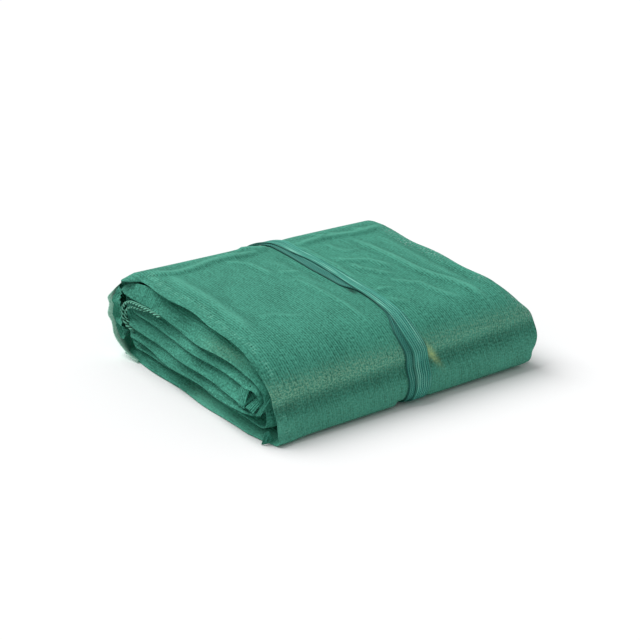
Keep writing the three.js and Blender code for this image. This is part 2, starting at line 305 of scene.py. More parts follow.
@dataclass
class Bundle:
    """The bundle's shape: the way of its strip, and how the whole of it has settled.

    groove is an X, a half width, a ramp and a depth. tie_trough is an X, a reach and a depth.
    top_profile rows are a Y, and the top's height at the left and the right end. swells rows are
    an X and a Y, a reach in each, and a rise. front_relief rows are a shift in Y and a Z, each at
    the left and the right end, and a reach. pull_x and pull_z are where the pull on the left end
    starts and where it is full, and end_pull rows are a Y and its shift.
    """

    height: float = 175.0
    pack: float = 21.0
    half_length: float = 305.0
    inner_end: float = -172.0
    outer_end: float = 252.0
    longest_turn: float = 1.15
    least_turn_points: int = 8
    ripple_length: float = 190.0
    flare_y: Pair = (-70.0, -190.0)
    lower_back_squareness: float = 1.6
    relief_y: Pair = (-150.0, -257.0)
    front_turn_run: float = 300.0
    half_back_turn_run: float = 110.0
    groove: tuple[float, ...] = (15.0, 31.0, 12.0, 6.4)
    tie_trough: tuple[float, ...] = (38.0, 34.0, 4.0)
    turns: dict[Side, Turn] = field(default_factory=lambda: {
        Side.FRONT: Turn(Side.FRONT, -257.0, 78.0, (2.3, 2.15, 2.0), (10.0, 4.0, 2.1)),
        Side.BACK: Turn(Side.BACK, 291.0, 76.0, (2.2, 2.1, 2.0), (2.2, 2.1, 2.0)),
    })
    courses: dict[Level, Course] = field(default_factory=lambda: {
        Level.BOTTOM: Course(
            -303, 302, 6, 2, 0.4,
            ((-261, 5, 0), (-196, 3, 0), (-60, 2, 0), (106, 2, 0), (217, 0, 0)),
            ((-179, 0, -26), (-140, 0, -16), (-100, 0, -6), (-60, 0, 0), (0, 0, 0))),
        Level.SECOND: Course(
            -305, 311, 14, 3, 1.9,
            ((-250, 4, 2), (-166, 5, 9), (-33, 3, 11), (53, 2, 11), (172, 0, 6), (240, 0, 0))),
        Level.THIRD: Course(
            -308, 316, 14, 3, 3.1,
            ((-240, 0, 0), (-215, 2, 0), (-175, 2, 0), (-115, -8, 0), (-71, -9, 0), (24, -9, 0),
             (100, -9, 0), (177, -1, 0), (230, 0, 0))),
        Level.CORE: Course(
            -306, 317, 14, 4, 4.4,
            ((-205, -4, 0), (-190, -6, 0), (-121, -12, 0), (-79, -12, 0), (-3, -8, 0), (108, -10, 0),
             (171, -4, 0), (220, 0, 0))),
        Level.FIFTH: Course(
            -299, 314, 14, 4, 5.2,
            ((-225, 3, 0), (-203, 4, 0), (-175, 0, 0), (-133, -4, 0), (-91, -7, 0), (-15, -7, 0),
             (80, -10, 0), (142, 0, 0), (220, 0, 0))),
        Level.SIXTH: Course(
            -296, 309, 12, 4, 0.2,
            ((-230, 4, 0), (-200, 0, 0), (-168, -3, 0), (-120, -3, 0), (-77, -5, 0), (-30, -10, 0),
             (23, -13, 0), (60, -9, 0), (109, 0, 0), (211, -1, 0), (240, 0, 0))),
        Level.TOP: Course(
            -289, 303, 2, 5, 1.2,
            ((-235, 5, 0), (-199, 9, 0), (-157, 14, 0), (-128, 17, 0), (-90, 17, 0), (-44, 15, 0),
             (47, 13, 0), (128, 15, 0), (180, 12, 0), (233, 6, 0)),
            ((-235, 0, -8), (-207, 0, -2), (-170, 0, 4), (-140, 0, 8), (-99, 0, 8), (-45, 0, 5),
             (10, 0, 2), (64, 0, 4), (118, 0, 10), (160, 0, 9), (200, 0, 5))),
    })
    way: tuple[Leg, ...] = (
        Leg(Level.CORE, Side.BACK, 2, -300, 312, 14.0, 6.0),
        Leg(Level.FIFTH, Side.FRONT, 2, -296, 326, 14.0, 6.0),
        Leg(Level.THIRD, Side.BACK, 1, -288, 312, 14.0, 6.0),
        Leg(Level.SIXTH, Side.FRONT, 1, -290, 330, 12.0, 6.0),
        Leg(Level.SECOND, Side.BACK, 0, -284, 311, 18.0, 5.5,
            left_shift=((0, 0), (0.6, 0), (0.72, -9), (0.84, -20), (0.93, -14), (1, 0))),
        Leg(Level.TOP, Side.FRONT, 0, -282, 336, 4.2, 4.2, right_shift=(
            (0, 0), (0.1, -4), (0.2, -8), (0.28, -3), (0.36, -2), (0.44, -2), (0.5, -5), (0.56, -12),
            (0.62, -20), (0.67, -18), (0.71, -18), (0.75, -28), (0.8, -38), (0.9, -35), (1, -26))),
        Leg(Level.BOTTOM),
    )
    top_profile: Rows = (
        (290, 175, 179), (195, 172.5, 176), (100, 170, 171), (0, 166, 166),
        (-90, 161, 160), (-150, 151, 153), (-205, 135, 143), (-257, 117, 133),
    )
    swells: Rows = (
        (-235, 60, 70, 110, 3), (-120, -60, 90, 60, -3), (150, 30, 80, 90, 3),
        (200, -130, 60, 60, -3), (-60, 150, 90, 50, -2),
    )
    front_relief: Rows = (
        (5, 5, 66, 84, 20), (-12, -12, 36, 34, 30), (-24, -6, 0, 2, 19),
    )
    end_pull: Rows = (
        (-257, 0), (-246, -6), (-190, -34), (-150, -20), (-110, 0),
    )
    pull_x: Pair = (-205.0, -280.0)
    pull_z: Pair = (142.0, 112.0)

    @property
    def pitch(self) -> float:
        """The distance between the middles of two courses."""
        return (self.height - self.pack) / (len(Level) - 1)

    @property
    def half_pack(self) -> float:
        """Half the thickness of a course."""
        return self.pack / 2

    def share_along(self, x: Any) -> Array:
        """How far along the bundle a place is, from 0 at its left end to 1 at its right."""
        return (x + self.half_length) / (2 * self.half_length)

    def top_height(self, x: Any, y: Any) -> Array:
        """The settled height of the top.

        Args:
            x: the places' X.
            y: the places' Y.

        Returns:
            The height over each.
        """
        left, right = follow(self.top_profile, y)
        height = left + (right - left) * smooth_step(self.share_along(x))
        for middle_x, middle_y, reach_x, reach_y, rise in self.swells:
            height = height + rise * bell(x - middle_x, reach_x) * bell(y - middle_y, reach_y)
        trough_x, reach, depth = self.tie_trough
        return height - depth * bell(x - trough_x, reach)

    def settle(self, x: Any, y: Any, z: Any) -> Array:
        """Settles points of the straight bundle.

        Args:
            x: the points' X.
            y: the points' Y.
            z: the points' Z.

        Returns:
            The settled points, the last axis X, Y and Z.
        """
        x, y, z = np.broadcast_arrays(np.asarray(x, float), np.asarray(y, float), np.asarray(z, float))
        sunk = z * self.top_height(x, y) / self.height
        groove_x, half_width, ramp, depth = self.groove
        lift = depth * (1 - smooth_step((np.abs(x - groove_x) - half_width) / ramp))
        settled_z = lift + sunk * (1 - lift / self.height)
        along = self.share_along(x)
        to_front = ease(y, *self.relief_y)
        settled_y = y
        for left_in, right_in, left_z, right_z, reach in self.front_relief:
            middle = left_z + (right_z - left_z) * along
            inwards = left_in + (right_in - left_in) * along
            settled_y = settled_y + inwards * bell(settled_z - middle, reach) * to_front
        share = ease(x, *self.pull_x) * ease(z, *self.pull_z)
        settled_y = settled_y + share * Curve(self.end_pull).at(y)
        return np.stack([x, settled_y, settled_z], axis=-1)

    def course_height(self, course: Level) -> float:
        """The height of a course's middle."""
        return self.half_pack + course * self.pitch

    def bend(self, turn: Turn, ring: int, course: Level, following: Level) -> Bend:
        """The turn that leads from one course to another.

        Args:
            turn: the front or the back turn.
            ring: how many turns lie round this one.
            course: the course it leaves.
            following: the course it leads to.

        Returns:
            The turn, placed.
        """
        from_z = self.course_height(course)
        to_z = self.course_height(following)
        depth = min(turn.depth - ring * self.pitch, self.longest_turn * abs(to_z - from_z) / 2)
        reach = turn.edge - turn.side.value * (self.half_pack + ring * self.pitch)
        start = reach - turn.side.value * depth
        return Bend(turn.side.value, start, depth, from_z, to_z, turn.upper[ring], turn.lower[ring])

    def course_ends(self, course: Course, y: Any) -> tuple[Array, ...]:
        """Where a course's two lips lie at places along it.

        Args:
            course: the course.
            y: the places.

        Returns:
            The left and right X, and the left and right lift.
        """
        wave = np.asarray(y) / self.ripple_length * 2 * math.pi + course.phase
        ripple = course.ripple * np.sin(wave)
        flare = course.flare * ease(y, *self.flare_y)
        left_lift, left_shift = follow(course.left_lip, y)
        right_lift, right_shift = follow(course.right_lip, y)
        left = course.left + ripple + left_shift
        right = course.right + ripple + flare + right_shift
        return left, right, left_lift, right_lift

    def line(self) -> Line:
        """The middle line of the folded strip from its inner to its outer end."""
        columns: list[list[Array]] = [[] for _ in fields(Line)]
        y = self.inner_end
        for index, leg in enumerate(self.way):
            following = self.way[index + 1].course if leg.turn else None
            bend = self.bend(self.turns[leg.turn], leg.ring, leg.course, following) if leg.turn else None
            end = bend.start if bend else self.outer_end
            count = max(2, int(round(abs(end - y) / leg.step)))
            places = np.linspace(y, end, count + 1)[0 if index == 0 else 1:]
            ends = self.course_ends(self.courses[leg.course], places)
            is_outer = float(index >= len(self.way) - 2)
            height = np.full(len(places), self.course_height(leg.course))
            parts = [places, height, *ends, np.full(len(places), is_outer), np.zeros(len(places))]
            for column, part in zip(columns, parts):
                column.append(part)
            if bend is None:
                break
            before = [value[-1] for value in ends]
            after = self.course_ends(self.courses[following], end)
            half_way = abs(bend.from_z - bend.to_z) / 2
            arc = math.pi / 2 * (half_way + bend.depth)
            count = max(self.least_turn_points, int(round(arc / leg.turn_step)))
            share = np.linspace(0, 1, count + 1)[1:]
            turn_y, turn_z = bend.point(share)
            outmost = np.sin(share * math.pi)
            blended = [b + (a - b) * share for b, a in zip(before, after)]
            goals = [leg.left, leg.right, 0.0, 0.0]
            lips = [value + (goal - value) * outmost for value, goal in zip(blended, goals)]
            lips[0] = lips[0] + Curve(leg.left_shift).at(share)
            lips[1] = lips[1] + Curve(leg.right_shift).at(share)
            ring_outer = np.full(len(share), float(leg.ring == 0))
            close = np.ones(len(share)) * (leg.turn is Side.BACK or leg.ring != 1)
            for column, part in zip(columns, [turn_y, turn_z, *lips, ring_outer, close]):
                column.append(part)
            y = end
        return Line(*[np.concatenate(column) for column in columns])

    def route(self, step: float, begin: float = 0.0, end: float = 5.0) -> tuple[Array, ...]:
        """The way round the outside of the straight bundle, on the middle of the outermost pack.

        Args:
            step: the distance between points.
            begin: the first place, from 0 under the middle, 1 to 2 up the front, to 3 back along
                the top, to 4 down the back and to 5 under the back half.
            end: the last place, beyond 5 on the second time round.

        Returns:
            The place, the Y and the Z of each point.
        """
        low, high = self.course_height(Level.BOTTOM), self.course_height(Level.TOP)
        front = self.bend(self.turns[Side.FRONT], 0, Level.BOTTOM, Level.TOP)
        back = self.bend(self.turns[Side.BACK], 0, Level.TOP, Level.SECOND)
        back_middle = (back.from_z + back.to_z) / 2
        reach = back.start + back.depth - self.outer_end
        lower = Bend(Side.BACK.value, self.outer_end, reach, 2 * back_middle - low, low, back.upper,
                     self.lower_back_squareness)
        top = back.start - front.start
        front_run, back_run = self.front_turn_run, self.half_back_turn_run
        stretches: list[tuple[float, float, float, Callable]] = [
            (0, 1, abs(front.start), lambda t: (front.start * t, np.full(len(t), low))),
            (1, 1, front_run, front.point),
            (2, 1, top, lambda t: (front.start + top * t, np.full(len(t), high))),
            (3, 0.5, back_run, lambda t: back.at_angle(t * math.pi / 2)),
            (3.5, 0.5, back_run, lambda t: lower.at_angle((1 + t) * math.pi / 2)),
            (4, 1, self.outer_end, lambda t: (self.outer_end * (1 - t), np.full(len(t), low))),
        ]
        at, y, z = [], [], []
        for start, span, length, point_at in stretches:
            count = int(length / step)
            t = np.arange(count) / count
            place_y, place_z = point_at(t)
            at.append(start + t * span)
            y.append(place_y)
            z.append(place_z)
        at, y, z = (np.concatenate(part) for part in (at, y, z))
        at = np.concatenate([at, at + ONCE_ROUND])
        keep = (at >= begin) & (at <= end)
        return at[keep], np.tile(y, 2)[keep], np.tile(z, 2)[keep]

    @staticmethod
    def to_model(points: Array) -> Array:
        """Points of the bundle's frame, in metres in the model's frame."""
        return (points + np.array(MODEL_SHIFT)) * METRES


@dataclass(frozen=True)
class Ridge:
    """A soft ridge, or trough, that follows listed points. Its two sides may differ in reach.

    It fades over a share of its length at both ends, down to a least share of its height. flank_shade
    is how much darker the net is painted beside it, as painted shade, where, and how widely, in shares
    of its reach.
    """

    points: Rows
    height: float
    reach: float
    far_reach: float = 0.0
    fade: float = 0.18
    least: float = 0.15
    full_height: float = 5.0
    pale_reach: float = 0.9
    flank_shade: tuple[float, ...] = (0.6, 1.7, 0.8)

    def _near(self, a: Array, b: Array) -> tuple[Array, Array]:
        """Finds the ridge's nearest point.

        Args:
            a: the places' first coordinate.
            b: the places' second coordinate.

        Returns:
            The distance from the ridge as a share of its reach, and how full it is there.
        """
        best = np.full(a.shape, np.inf)
        signed = np.zeros(a.shape)
        along = np.zeros(a.shape)
        stretches = list(zip(self.points, self.points[1:]))
        total = sum(math.dist(p, q) for p, q in stretches)
        before = 0.0
        for p, q in stretches:
            length = math.dist(p, q)
            u, v = (q[0] - p[0]) / length, (q[1] - p[1]) / length
            t = np.clip((a - p[0]) * u + (b - p[1]) * v, 0, length)
            off_a, off_b = a - p[0] - u * t, b - p[1] - v * t
            distance = np.hypot(off_a, off_b)
            nearer = distance < best
            best = np.where(nearer, distance, best)
            signed = np.where(nearer, np.sign(u * off_b - v * off_a), signed)
            along = np.where(nearer, (before + t) / total, along)
            before += length
        reach = np.where(signed > 0, self.reach, self.far_reach or self.reach)
        fade = smooth_step(along / self.fade) * smooth_step((1 - along) / self.fade)
        return best / reach, self.least + (1 - self.least) * fade

    def rise(self, a: Array, b: Array) -> Array:
        """How much the ridge adds at places of its surface."""
        distance, full = self._near(a, b)
        return self.height * bell(distance, 1.0) * full

    def wear_and_shading(self, a: Array, b: Array) -> Array:
        """How pale the net is painted on and beside the ridge: paler on it, partly the stretched net's own
        wear and partly painted highlight, and darker beside it where below 0, as painted shade.

        Args:
            a: the places' first coordinate.
            b: the places' second coordinate.

        Returns:
            The wear at each place.
        """
        distance, full = self._near(a, b)
        share, place, reach = self.flank_shade
        ridge_tone = bell(distance, self.pale_reach) - share * bell(distance - place, reach)
        return self.height / self.full_height * full * ridge_tone


@dataclass(frozen=True)
class Relief:
    """The creases of the outer ply: of the top over X and Y, and of the front over X and Z."""

    top: tuple[Ridge, ...] = (
        Ridge(((-285, 222), (-262, 212), (-245, 190), (-225, 179), (-198, 178), (-165, 186), (-130, 197),
               (-95, 200), (-62, 193), (-30, 195), (5, 200)), 5.1, 15, 6),
        Ridge(((58, 196), (80, 183), (110, 185), (140, 187), (172, 182), (205, 175), (240, 174), (272, 182),
               (300, 190)), 5.1, 15, 6),
        Ridge(((-45, 236), (-20, 218), (14, 202)), 6.0, 9),
        Ridge(((-100, 226), (-78, 212), (-58, 200)), 2.8, 9),
        Ridge(((-238, 185), (-240, 120), (-236, 40), (-238, -40), (-240, -150)), 4.1, 12),
        Ridge(((-104, 186), (-84, 164), (-69, 148), (-65, 110), (-62, 66)), 3.4, 7),
        Ridge(((-46, 80), (-28, 66), (-2, 62)), 2.8, 8),
        Ridge(((-60, 30), (-40, 27), (-33, 0), (-28, -60), (-25, -110), (-24, -190)), 3.0, 6),
        Ridge(((-200, -84), (-165, -88), (-145, -106), (-116, -120)), 2.1, 8),
        Ridge(((66, 196), (72, 150), (69, 100), (70, 60), (66, 0), (66, -45)), 3.2, 6),
        Ridge(((92, 80), (98, 62), (112, 50), (140, 32), (150, 8), (164, -24)), 4.4, 8),
        Ridge(((96, 40), (101, 6), (122, -28), (142, -54)), 3.9, 7),
        Ridge(((122, 160), (124, 122), (132, 98), (158, 95)), 2.3, 7),
        Ridge(((186, 158), (191, 100), (193, 50), (196, 0), (199, -50), (212, -90), (229, -122), (241, -165),
               (247, -228)), 5.1, 9),
        Ridge(((58, -92), (80, -91), (102, -102)), 3.7, 6),
        Ridge(((62, -130), (74, -140), (90, -160)), 2.3, 7),
        Ridge(((118, -62), (132, -84), (148, -98), (162, -104), (170, -134), (182, -166), (202, -188)),
              3.4, 8),
        Ridge(((128, 222), (134, 204), (144, 188)), 3.2, 7),
        Ridge(((158, 222), (166, 206), (172, 190)), 2.3, 7),
        Ridge(((212, 224), (222, 204), (240, 178)), 3.7, 8),
        Ridge(((270, 150), (268, 60), (262, -30), (268, -110), (276, -180)), -4.1, 12),
        Ridge(((-10, 160), (4, 120), (2, 40), (6, -30)), -2.8, 12),
    )
    front: tuple[Ridge, ...] = (
        Ridge(((-290, 58), (-200, 60), (-100, 62), (0, 66), (60, 72), (150, 78), (240, 80), (320, 76)),
              -4.0, 14, 16),
        Ridge(((-285, 88), (-200, 91), (-100, 92), (0, 96), (80, 102), (160, 106), (240, 108), (320, 106)),
              1.6, 14, 10),
        Ridge(((150, 40), (200, 48), (260, 44), (310, 50)), 1.0, 9),
        Ridge(((-250, 34), (-150, 28), (-60, 36)), 0.8, 12),
        Ridge(((86, 62), (120, 44), (170, 34)), 0.8, 10),
    )

    def top_rise(self, x: Array, y: Array) -> Array:
        """How far the top stands up at places of it."""
        return sum(ridge.rise(x, y) for ridge in self.top)

    def front_rise(self, x: Array, z: Array) -> Array:
        """How far the front stands out at places of it."""
        return sum(ridge.rise(x, z) for ridge in self.front)

    def top_wear_and_shading(self, x: Array, y: Array) -> Array:
        """How pale the top is painted at places of it: paler on its ridges, partly stretch and partly painted
        highlight, and darker beside them as painted shade.
        """
        return sum(ridge.wear_and_shading(x, y) for ridge in self.top)


class Socket:
    """A value or link in a material, on which Python's operators add Math nodes."""

    def __init__(self, kit: "Shader", out: Any) -> None:
        """Wraps an output socket of a material's kit."""
        self.kit = kit
        self.out = out

    def _math(self, operation: str, *values: Any) -> "Socket":
        """A Math node on these values, clamped only where the maths says so."""
        return self.kit.node("ShaderNodeMath", {"operation": operation}, dict(enumerate(values)))

    def __add__(self, other: Any) -> "Socket":
        """The sum."""
        return self._math("ADD", self, other)

    __radd__ = __add__

    def __mul__(self, other: Any) -> "Socket":
        """The product."""
        return self._math("MULTIPLY", self, other)

    __rmul__ = __mul__

    def __sub__(self, other: Any) -> "Socket":
        """The difference."""
        return self._math("SUBTRACT", self, other)

    def __rsub__(self, other: Any) -> "Socket":
        """The difference, from a number."""
        return self._math("SUBTRACT", other, self)

    def __truediv__(self, other: Any) -> "Socket":
        """The quotient."""
        return self._math("DIVIDE", self, other)

    def __rtruediv__(self, other: Any) -> "Socket":
        """The quotient, of a number."""
        return self._math("DIVIDE", other, self)

    def cycle(self) -> "Socket":
        """A sine wave, once over for each 1 of the value."""
        return self._math("SINE", self * (2 * math.pi))

    def wave(self) -> "Socket":
        """The same wave, from 0 to 1."""
        return self.cycle() * 0.5 + 0.5

    def clip(self, high: float = 1.0) -> "Socket":
        """The value, held between 0 and high."""
        return self._math("MINIMUM", self._math("MAXIMUM", self, 0.0), high)

    def above(self, low: float) -> "Socket":
        """How far the value is above low, and 0 below it."""
        return self._math("MAXIMUM", self - low, 0.0)

    def floor(self) -> "Socket":
        """The whole part."""
        return self._math("FLOOR", self)

    def step(self, low: float, high: float) -> "Socket":
        """Eases from 0 at low to 1 at high."""
        return self.kit.node("ShaderNodeMapRange", {"interpolation_type": "SMOOTHSTEP"},
                             {"Value": self, "From Min": low, "From Max": high})


def linear(red: int, green: int, blue: int) -> Colour:
    """Turns a screen colour into linear light.

    Args:
        red: its red, from 0 to 255.
        green: its green, likewise.
        blue: its blue, likewise.

    Returns:
        The three channels, from 0 to 1.
    """
    def one(value: int) -> float:
        """One channel."""
        share = value / 255
        return share / 12.92 if share <= 0.04045 else ((share + 0.055) / 1.055) ** 2.4
    return one(red), one(green), one(blue)


@dataclass(frozen=True)
class Speckle:
    """Soft noise: its size across and along the cloth in millimetres, and which of its kind."""

    across: float
    along: float
    detail: float = 2.0
    roughness: float = 0.5
    which: float = 0.0


class Shader:
    """A material's node tree and the few ways to add to it."""

    def __init__(self, name: str) -> None:
        """Starts a material with one surface shader.

        Args:
            name: the material's name.
        """
        self.material = bpy.data.materials.new(name)
        self.material.use_nodes = True
        self.tree = self.material.node_tree
        self.tree.nodes.clear()
        self.output = self.tree.nodes.new("ShaderNodeOutputMaterial")
        self.surface = self.tree.nodes.new("ShaderNodeBsdfPrincipled")
        self.tree.links.new(self.surface.outputs["BSDF"], self.output.inputs["Surface"])

    def feed(self, socket: Any, value: Any) -> None:
        """Sets a socket's value, or links it.

        Args:
            socket: the input socket.
            value: a number, a colour or a Socket.
        """
        if isinstance(value, Socket):
            self.tree.links.new(value.out, socket)
        elif isinstance(value, tuple) and socket.type == "RGBA":
            socket.default_value = (*value, 1.0)
        else:
            socket.default_value = value

    def node(self, kind: str, settings: dict[str, Any] | None = None,
             values: dict[Any, Any] | None = None, out: Any = 0) -> Socket:
        """Adds any node.

        Args:
            kind: the node's type.
            settings: what is set on the node first.
            values: values or links by socket name or number.
            out: the output socket that is wanted.

        Returns:
            That output.
        """
        node = self.tree.nodes.new(kind)
        for key, value in (settings or {}).items():
            setattr(node, key, value)
        for key, value in (values or {}).items():
            self.feed(node.inputs[key], value)
        return Socket(self, node.outputs[out])

    def mix(self, share: Any, low: Any, high: Any) -> Socket:
        """Mixes two colours, with share of the second."""
        return self.node("ShaderNodeMix", {"data_type": "RGBA"}, {0: share, 6: low, 7: high}, 2)

    def attribute(self, name: str) -> Socket:
        """A value kept on the mesh."""
        return self.node("ShaderNodeAttribute", {"attribute_name": name}, {}, "Fac")

    def cloth(self) -> tuple[Socket, Socket]:
        """How far across and along the cloth, in millimetres."""
        uv = self.node("ShaderNodeUVMap", {"uv_map": "cloth"})
        split = self.node("ShaderNodeSeparateXYZ", {}, {0: uv}).out.node
        self.across, self.along = (Socket(self, split.outputs[k]) * MILLIMETRES for k in (0, 1))
        return self.across, self.along

    def noise(self, speckle: Speckle) -> Socket:
        """Adds soft noise over the cloth, after cloth() has given the place on it.

        Args:
            speckle: the noise's size and kind.

        Returns:
            The noise, from 0 to 1.
        """
        place = {0: self.across / speckle.across, 1: self.along / speckle.along, 2: speckle.which}
        values = {"Vector": self.node("ShaderNodeCombineXYZ", {}, place), "Scale": 1.0,
                  "Detail": speckle.detail, "Roughness": speckle.roughness}
        return self.node("ShaderNodeTexNoise", {}, values, "Fac")

    def finish(self, colour: Any, roughness: Any, height: Any = None, depth: float = 0.0,
               sheen: float = 0.0, alpha: Any = None, specular: float = 0.2) -> Material:
        """Feeds the surface shader.

        Args:
            colour: base colour.
            roughness: roughness, a number or a socket.
            height: the relief, from 0 to 1, or None.
            depth: the relief's depth in millimetres.
            sheen: the weight of a soft sheen.
            alpha: how solid it is, or None.
            specular: the level of its gloss.

        Returns:
            The material.
        """
        values = {"Base Color": colour, "Roughness": roughness, "Specular IOR Level": specular}
        if sheen:
            values |= {"Sheen Weight": sheen, "Sheen Roughness": 0.45}
        if alpha is not None:
            values["Alpha"] = alpha
        if height is not None:
            values["Normal"] = self.node("ShaderNodeBump", {}, {"Strength": 1.0, "Distance": depth * METRES,
                                                                "Height": height})
        for key, value in values.items():
            self.feed(self.surface.inputs[key], value)
        return self.material


@dataclass(frozen=True)
class NetFinish:
    """Knitted harvest net in many plies: raised ribs along it, and rows of stitches across.

    The values that end in _tone are how much each part of the knit adds to the tone, around
    middle_tone, from the deep colour to the base colour. plain_shade_tone darkens the folded ends as
    painted shade, and wear_and_shading_tone paints ridges and lit places paler as painted highlight and
    flanks, valleys and leaves darker as painted shade, partly with the net's own wear.
    """

    rib_pitch: float = 4.9
    rib_sway: float = 2.4
    stitch_pitch: float = 2.4
    hem_pitch: float = 6.4
    hem_sway: float = 1.6
    base: Colour = linear(78, 168, 144)
    deep: Colour = linear(24, 96, 77)
    pale: Colour = linear(124, 204, 178)
    sheen_fleck_colour: Colour = linear(140, 200, 166)
    stain: Colour = linear(200, 226, 148)
    sparkle: Colour = linear(226, 240, 234)
    notch_shadow: Colour = linear(10, 44, 36)
    wander: Speckle = Speckle(90.0, 240.0)
    grain: Speckle = Speckle(4.0, 4.4, 3.0, 0.7)
    streak: Speckle = Speckle(4.2, 44.0, 2.0, 0.6)
    cloud: Speckle = Speckle(70.0, 95.0, 3.0, 0.55)
    layer: Speckle = Speckle(1.9, 60.0, 2.0, 0.6, 5.0)
    fleck: Speckle = Speckle(4.6, 4.0, 3.0, 0.8, 3.0)
    broken: Speckle = Speckle(30.0, 17.0, which=31.0)
    stained: Speckle = Speckle(5.0, 4.6, which=9.0)
    holes: Speckle = Speckle(3.0, 6.0, 2.0, 0.8, 17.0)
    middle_tone: float = 0.635
    rib_tone: float = 0.5
    stitch_tone: float = 0.2
    grain_tone: float = 2.6
    streak_tone: float = 0.9
    cloud_tone: float = 0.45
    layer_tone: float = 0.9
    plain_shade_tone: float = -0.14
    wear_and_shading_tone: float = 0.26
    plain_share: float = 0.88
    roughness: float = 0.78
    relief_depth: float = 0.6
    sheen: float = 0.03

    def build(self) -> Material:
        """Makes the material."""
        kit = Shader("harvest_net")
        across, along = kit.cloth()
        grain, streak, cloud, layer = map(kit.noise, (self.grain, self.streak, self.cloud, self.layer))
        # The smooth mark smooths the knit, and plain_shade_tone darkens the net there as painted shade on the
        # folded ends.
        plain, wear_and_shading = kit.attribute("smooth"), kit.attribute("wear_and_shading")
        knit = 1.0 - plain * self.plain_share
        rib_place = across / self.rib_pitch + (kit.noise(self.wander) - 0.5) * self.rib_sway
        rib = rib_place.wave()
        stitch = (along / self.stitch_pitch + rib_place.floor() * 0.5).wave()
        # Painted light and shade: wear_and_shading lightens ridges and lit places and darkens flanks, valleys
        # and leaves.
        tone = ((rib - 0.5) * knit * self.rib_tone + (stitch - 0.5) * knit * self.stitch_tone
                + (grain - 0.5) * self.grain_tone + (streak - 0.5) * self.streak_tone
                + (cloud - 0.5) * self.cloud_tone + (layer - 0.5) * plain * self.layer_tone
                + plain * self.plain_shade_tone + wear_and_shading * self.wear_and_shading_tone + self.middle_tone)
        colour = kit.mix(tone.clip(), self.deep, self.base)
        colour = kit.mix((grain.above(0.6) * 3.4).clip(0.6), colour, self.pale)
        # Painted highlight: ridges and lit places are mixed further towards pale.
        colour = kit.mix((wear_and_shading * 0.14).clip(0.3), colour, self.pale)
        colour = self.marked(kit, colour, grain)
        relief = rib * knit * 0.6 + stitch * knit * 0.35 + grain * 0.6
        rough = self.roughness + (grain - 0.5) * 0.2
        return kit.finish(colour, rough, relief, self.relief_depth, self.sheen)

    def marked(self, kit: Shader, colour: Socket, grain: Socket) -> Socket:
        """Adds the net's painted sheen flecks, selvedge, stain, painted see-through specks and painted notch
        shadow to its colour.

        Args:
            kit: the material's kit.
            colour: the colour of the plain net.
            grain: its grain.

        Returns:
            The marked colour.
        """
        sheen_flecks, edge, stain, sparkle, notch_shadow = map(
            kit.attribute, ("sheen_flecks", "selvedge", "stain", "sparkle", "notch_shadow"))
        fleck = kit.noise(self.fleck).step(0.44, 0.62)
        # Painted sheen: pale flecks on the lit crest and low front, and on the end bands' lower lips.
        colour = kit.mix((sheen_flecks * fleck).clip() * 0.8 + sheen_flecks * 0.1, colour, self.sheen_fleck_colour)
        thread = (kit.along / self.hem_pitch + (grain - 0.5) * self.hem_sway).cycle().step(0.2, 0.9)
        broken = kit.noise(self.broken).step(0.42, 0.6)
        colour = kit.mix(edge * thread * broken * 0.75, colour, self.pale)
        colour = kit.mix((stain * kit.noise(self.stained) * 1.2).clip(0.7), colour, self.stain)
        # Painted light: pale specks where light shows through the net's holes, along the right top edge and
        # at the front-right corner.
        hole = kit.noise(self.holes).step(0.56, 0.66)
        colour = kit.mix((sparkle * hole).clip(0.85), colour, self.sparkle)
        # Painted shadow in the gap beside the band's left edge, on the top.
        return kit.mix((notch_shadow * 0.9).clip(0.9), colour, self.notch_shadow)


@dataclass(frozen=True)
class SheerFinish:
    """A single ply of the net: like the rest where it lies on it, pale where light shows through."""

    base: Colour = linear(76, 160, 136)
    deep: Colour = (0.03, 0.2, 0.14)
    # thread and hollow are pale colours painted where light shows through the thin ply.
    thread: Colour = linear(206, 232, 220)
    hollow: Colour = linear(128, 184, 162)
    glow: Colour = linear(150, 200, 180)
    no_glow: Colour = (0.0, 0.0, 0.0)
    glow_strength: float = 0.22
    grain: Speckle = Speckle(3.6, 4.2, 3.0, 0.75)
    roughness: float = 0.8
    relief_depth: float = 0.5
    solid: Pair = (0.7, 0.3)

    def build(self) -> Material:
        """Makes the material."""
        kit = Shader("sheer_net")
        kit.cloth()
        grain, thin = kit.noise(self.grain), kit.attribute("thin")
        lying = kit.mix(grain.step(0.3, 0.7), self.base, self.deep)
        pale = kit.mix(grain.step(0.36, 0.64), self.thread, self.hollow)
        least, more = self.solid
        alpha = grain.step(0.3, 0.5) * more + least
        # Painted light: where the ply is thin it is made pale, as light showing through it.
        colour = kit.mix(thin, lying, pale)
        material = kit.finish(colour, self.roughness, grain, self.relief_depth, alpha=alpha)
        # Painted backlight: the thin part of the ply glows with its own light.
        kit.feed(kit.surface.inputs["Emission Color"], kit.mix(thin, self.no_glow, self.glow))
        kit.feed(kit.surface.inputs["Emission Strength"], self.glow_strength)
        return material


@dataclass(frozen=True)
class EdgingFinish:
    """Thick twisted thread, pale on its strands and dark between them."""

    pale: Colour = linear(120, 200, 172)
    deep: Colour = linear(16, 70, 56)
    grain: Speckle = Speckle(1.5, 1.8, 2.0, 0.6)
    strand_tone: float = 1.1
    grain_tone: float = 0.8
    least_tone: float = -0.1
    roughness: float = 0.75
    relief_depth: float = 0.5

    def build(self) -> Material:
        """Makes the material."""
        kit = Shader("edging_thread")
        kit.cloth()
        grain, strand = kit.noise(self.grain), kit.attribute("strand")
        tone = strand * self.strand_tone + (grain - 0.5) * self.grain_tone + self.least_tone
        colour = kit.mix(tone.clip(), self.deep, self.pale)
        return kit.finish(colour, self.roughness, grain + strand, self.relief_depth)


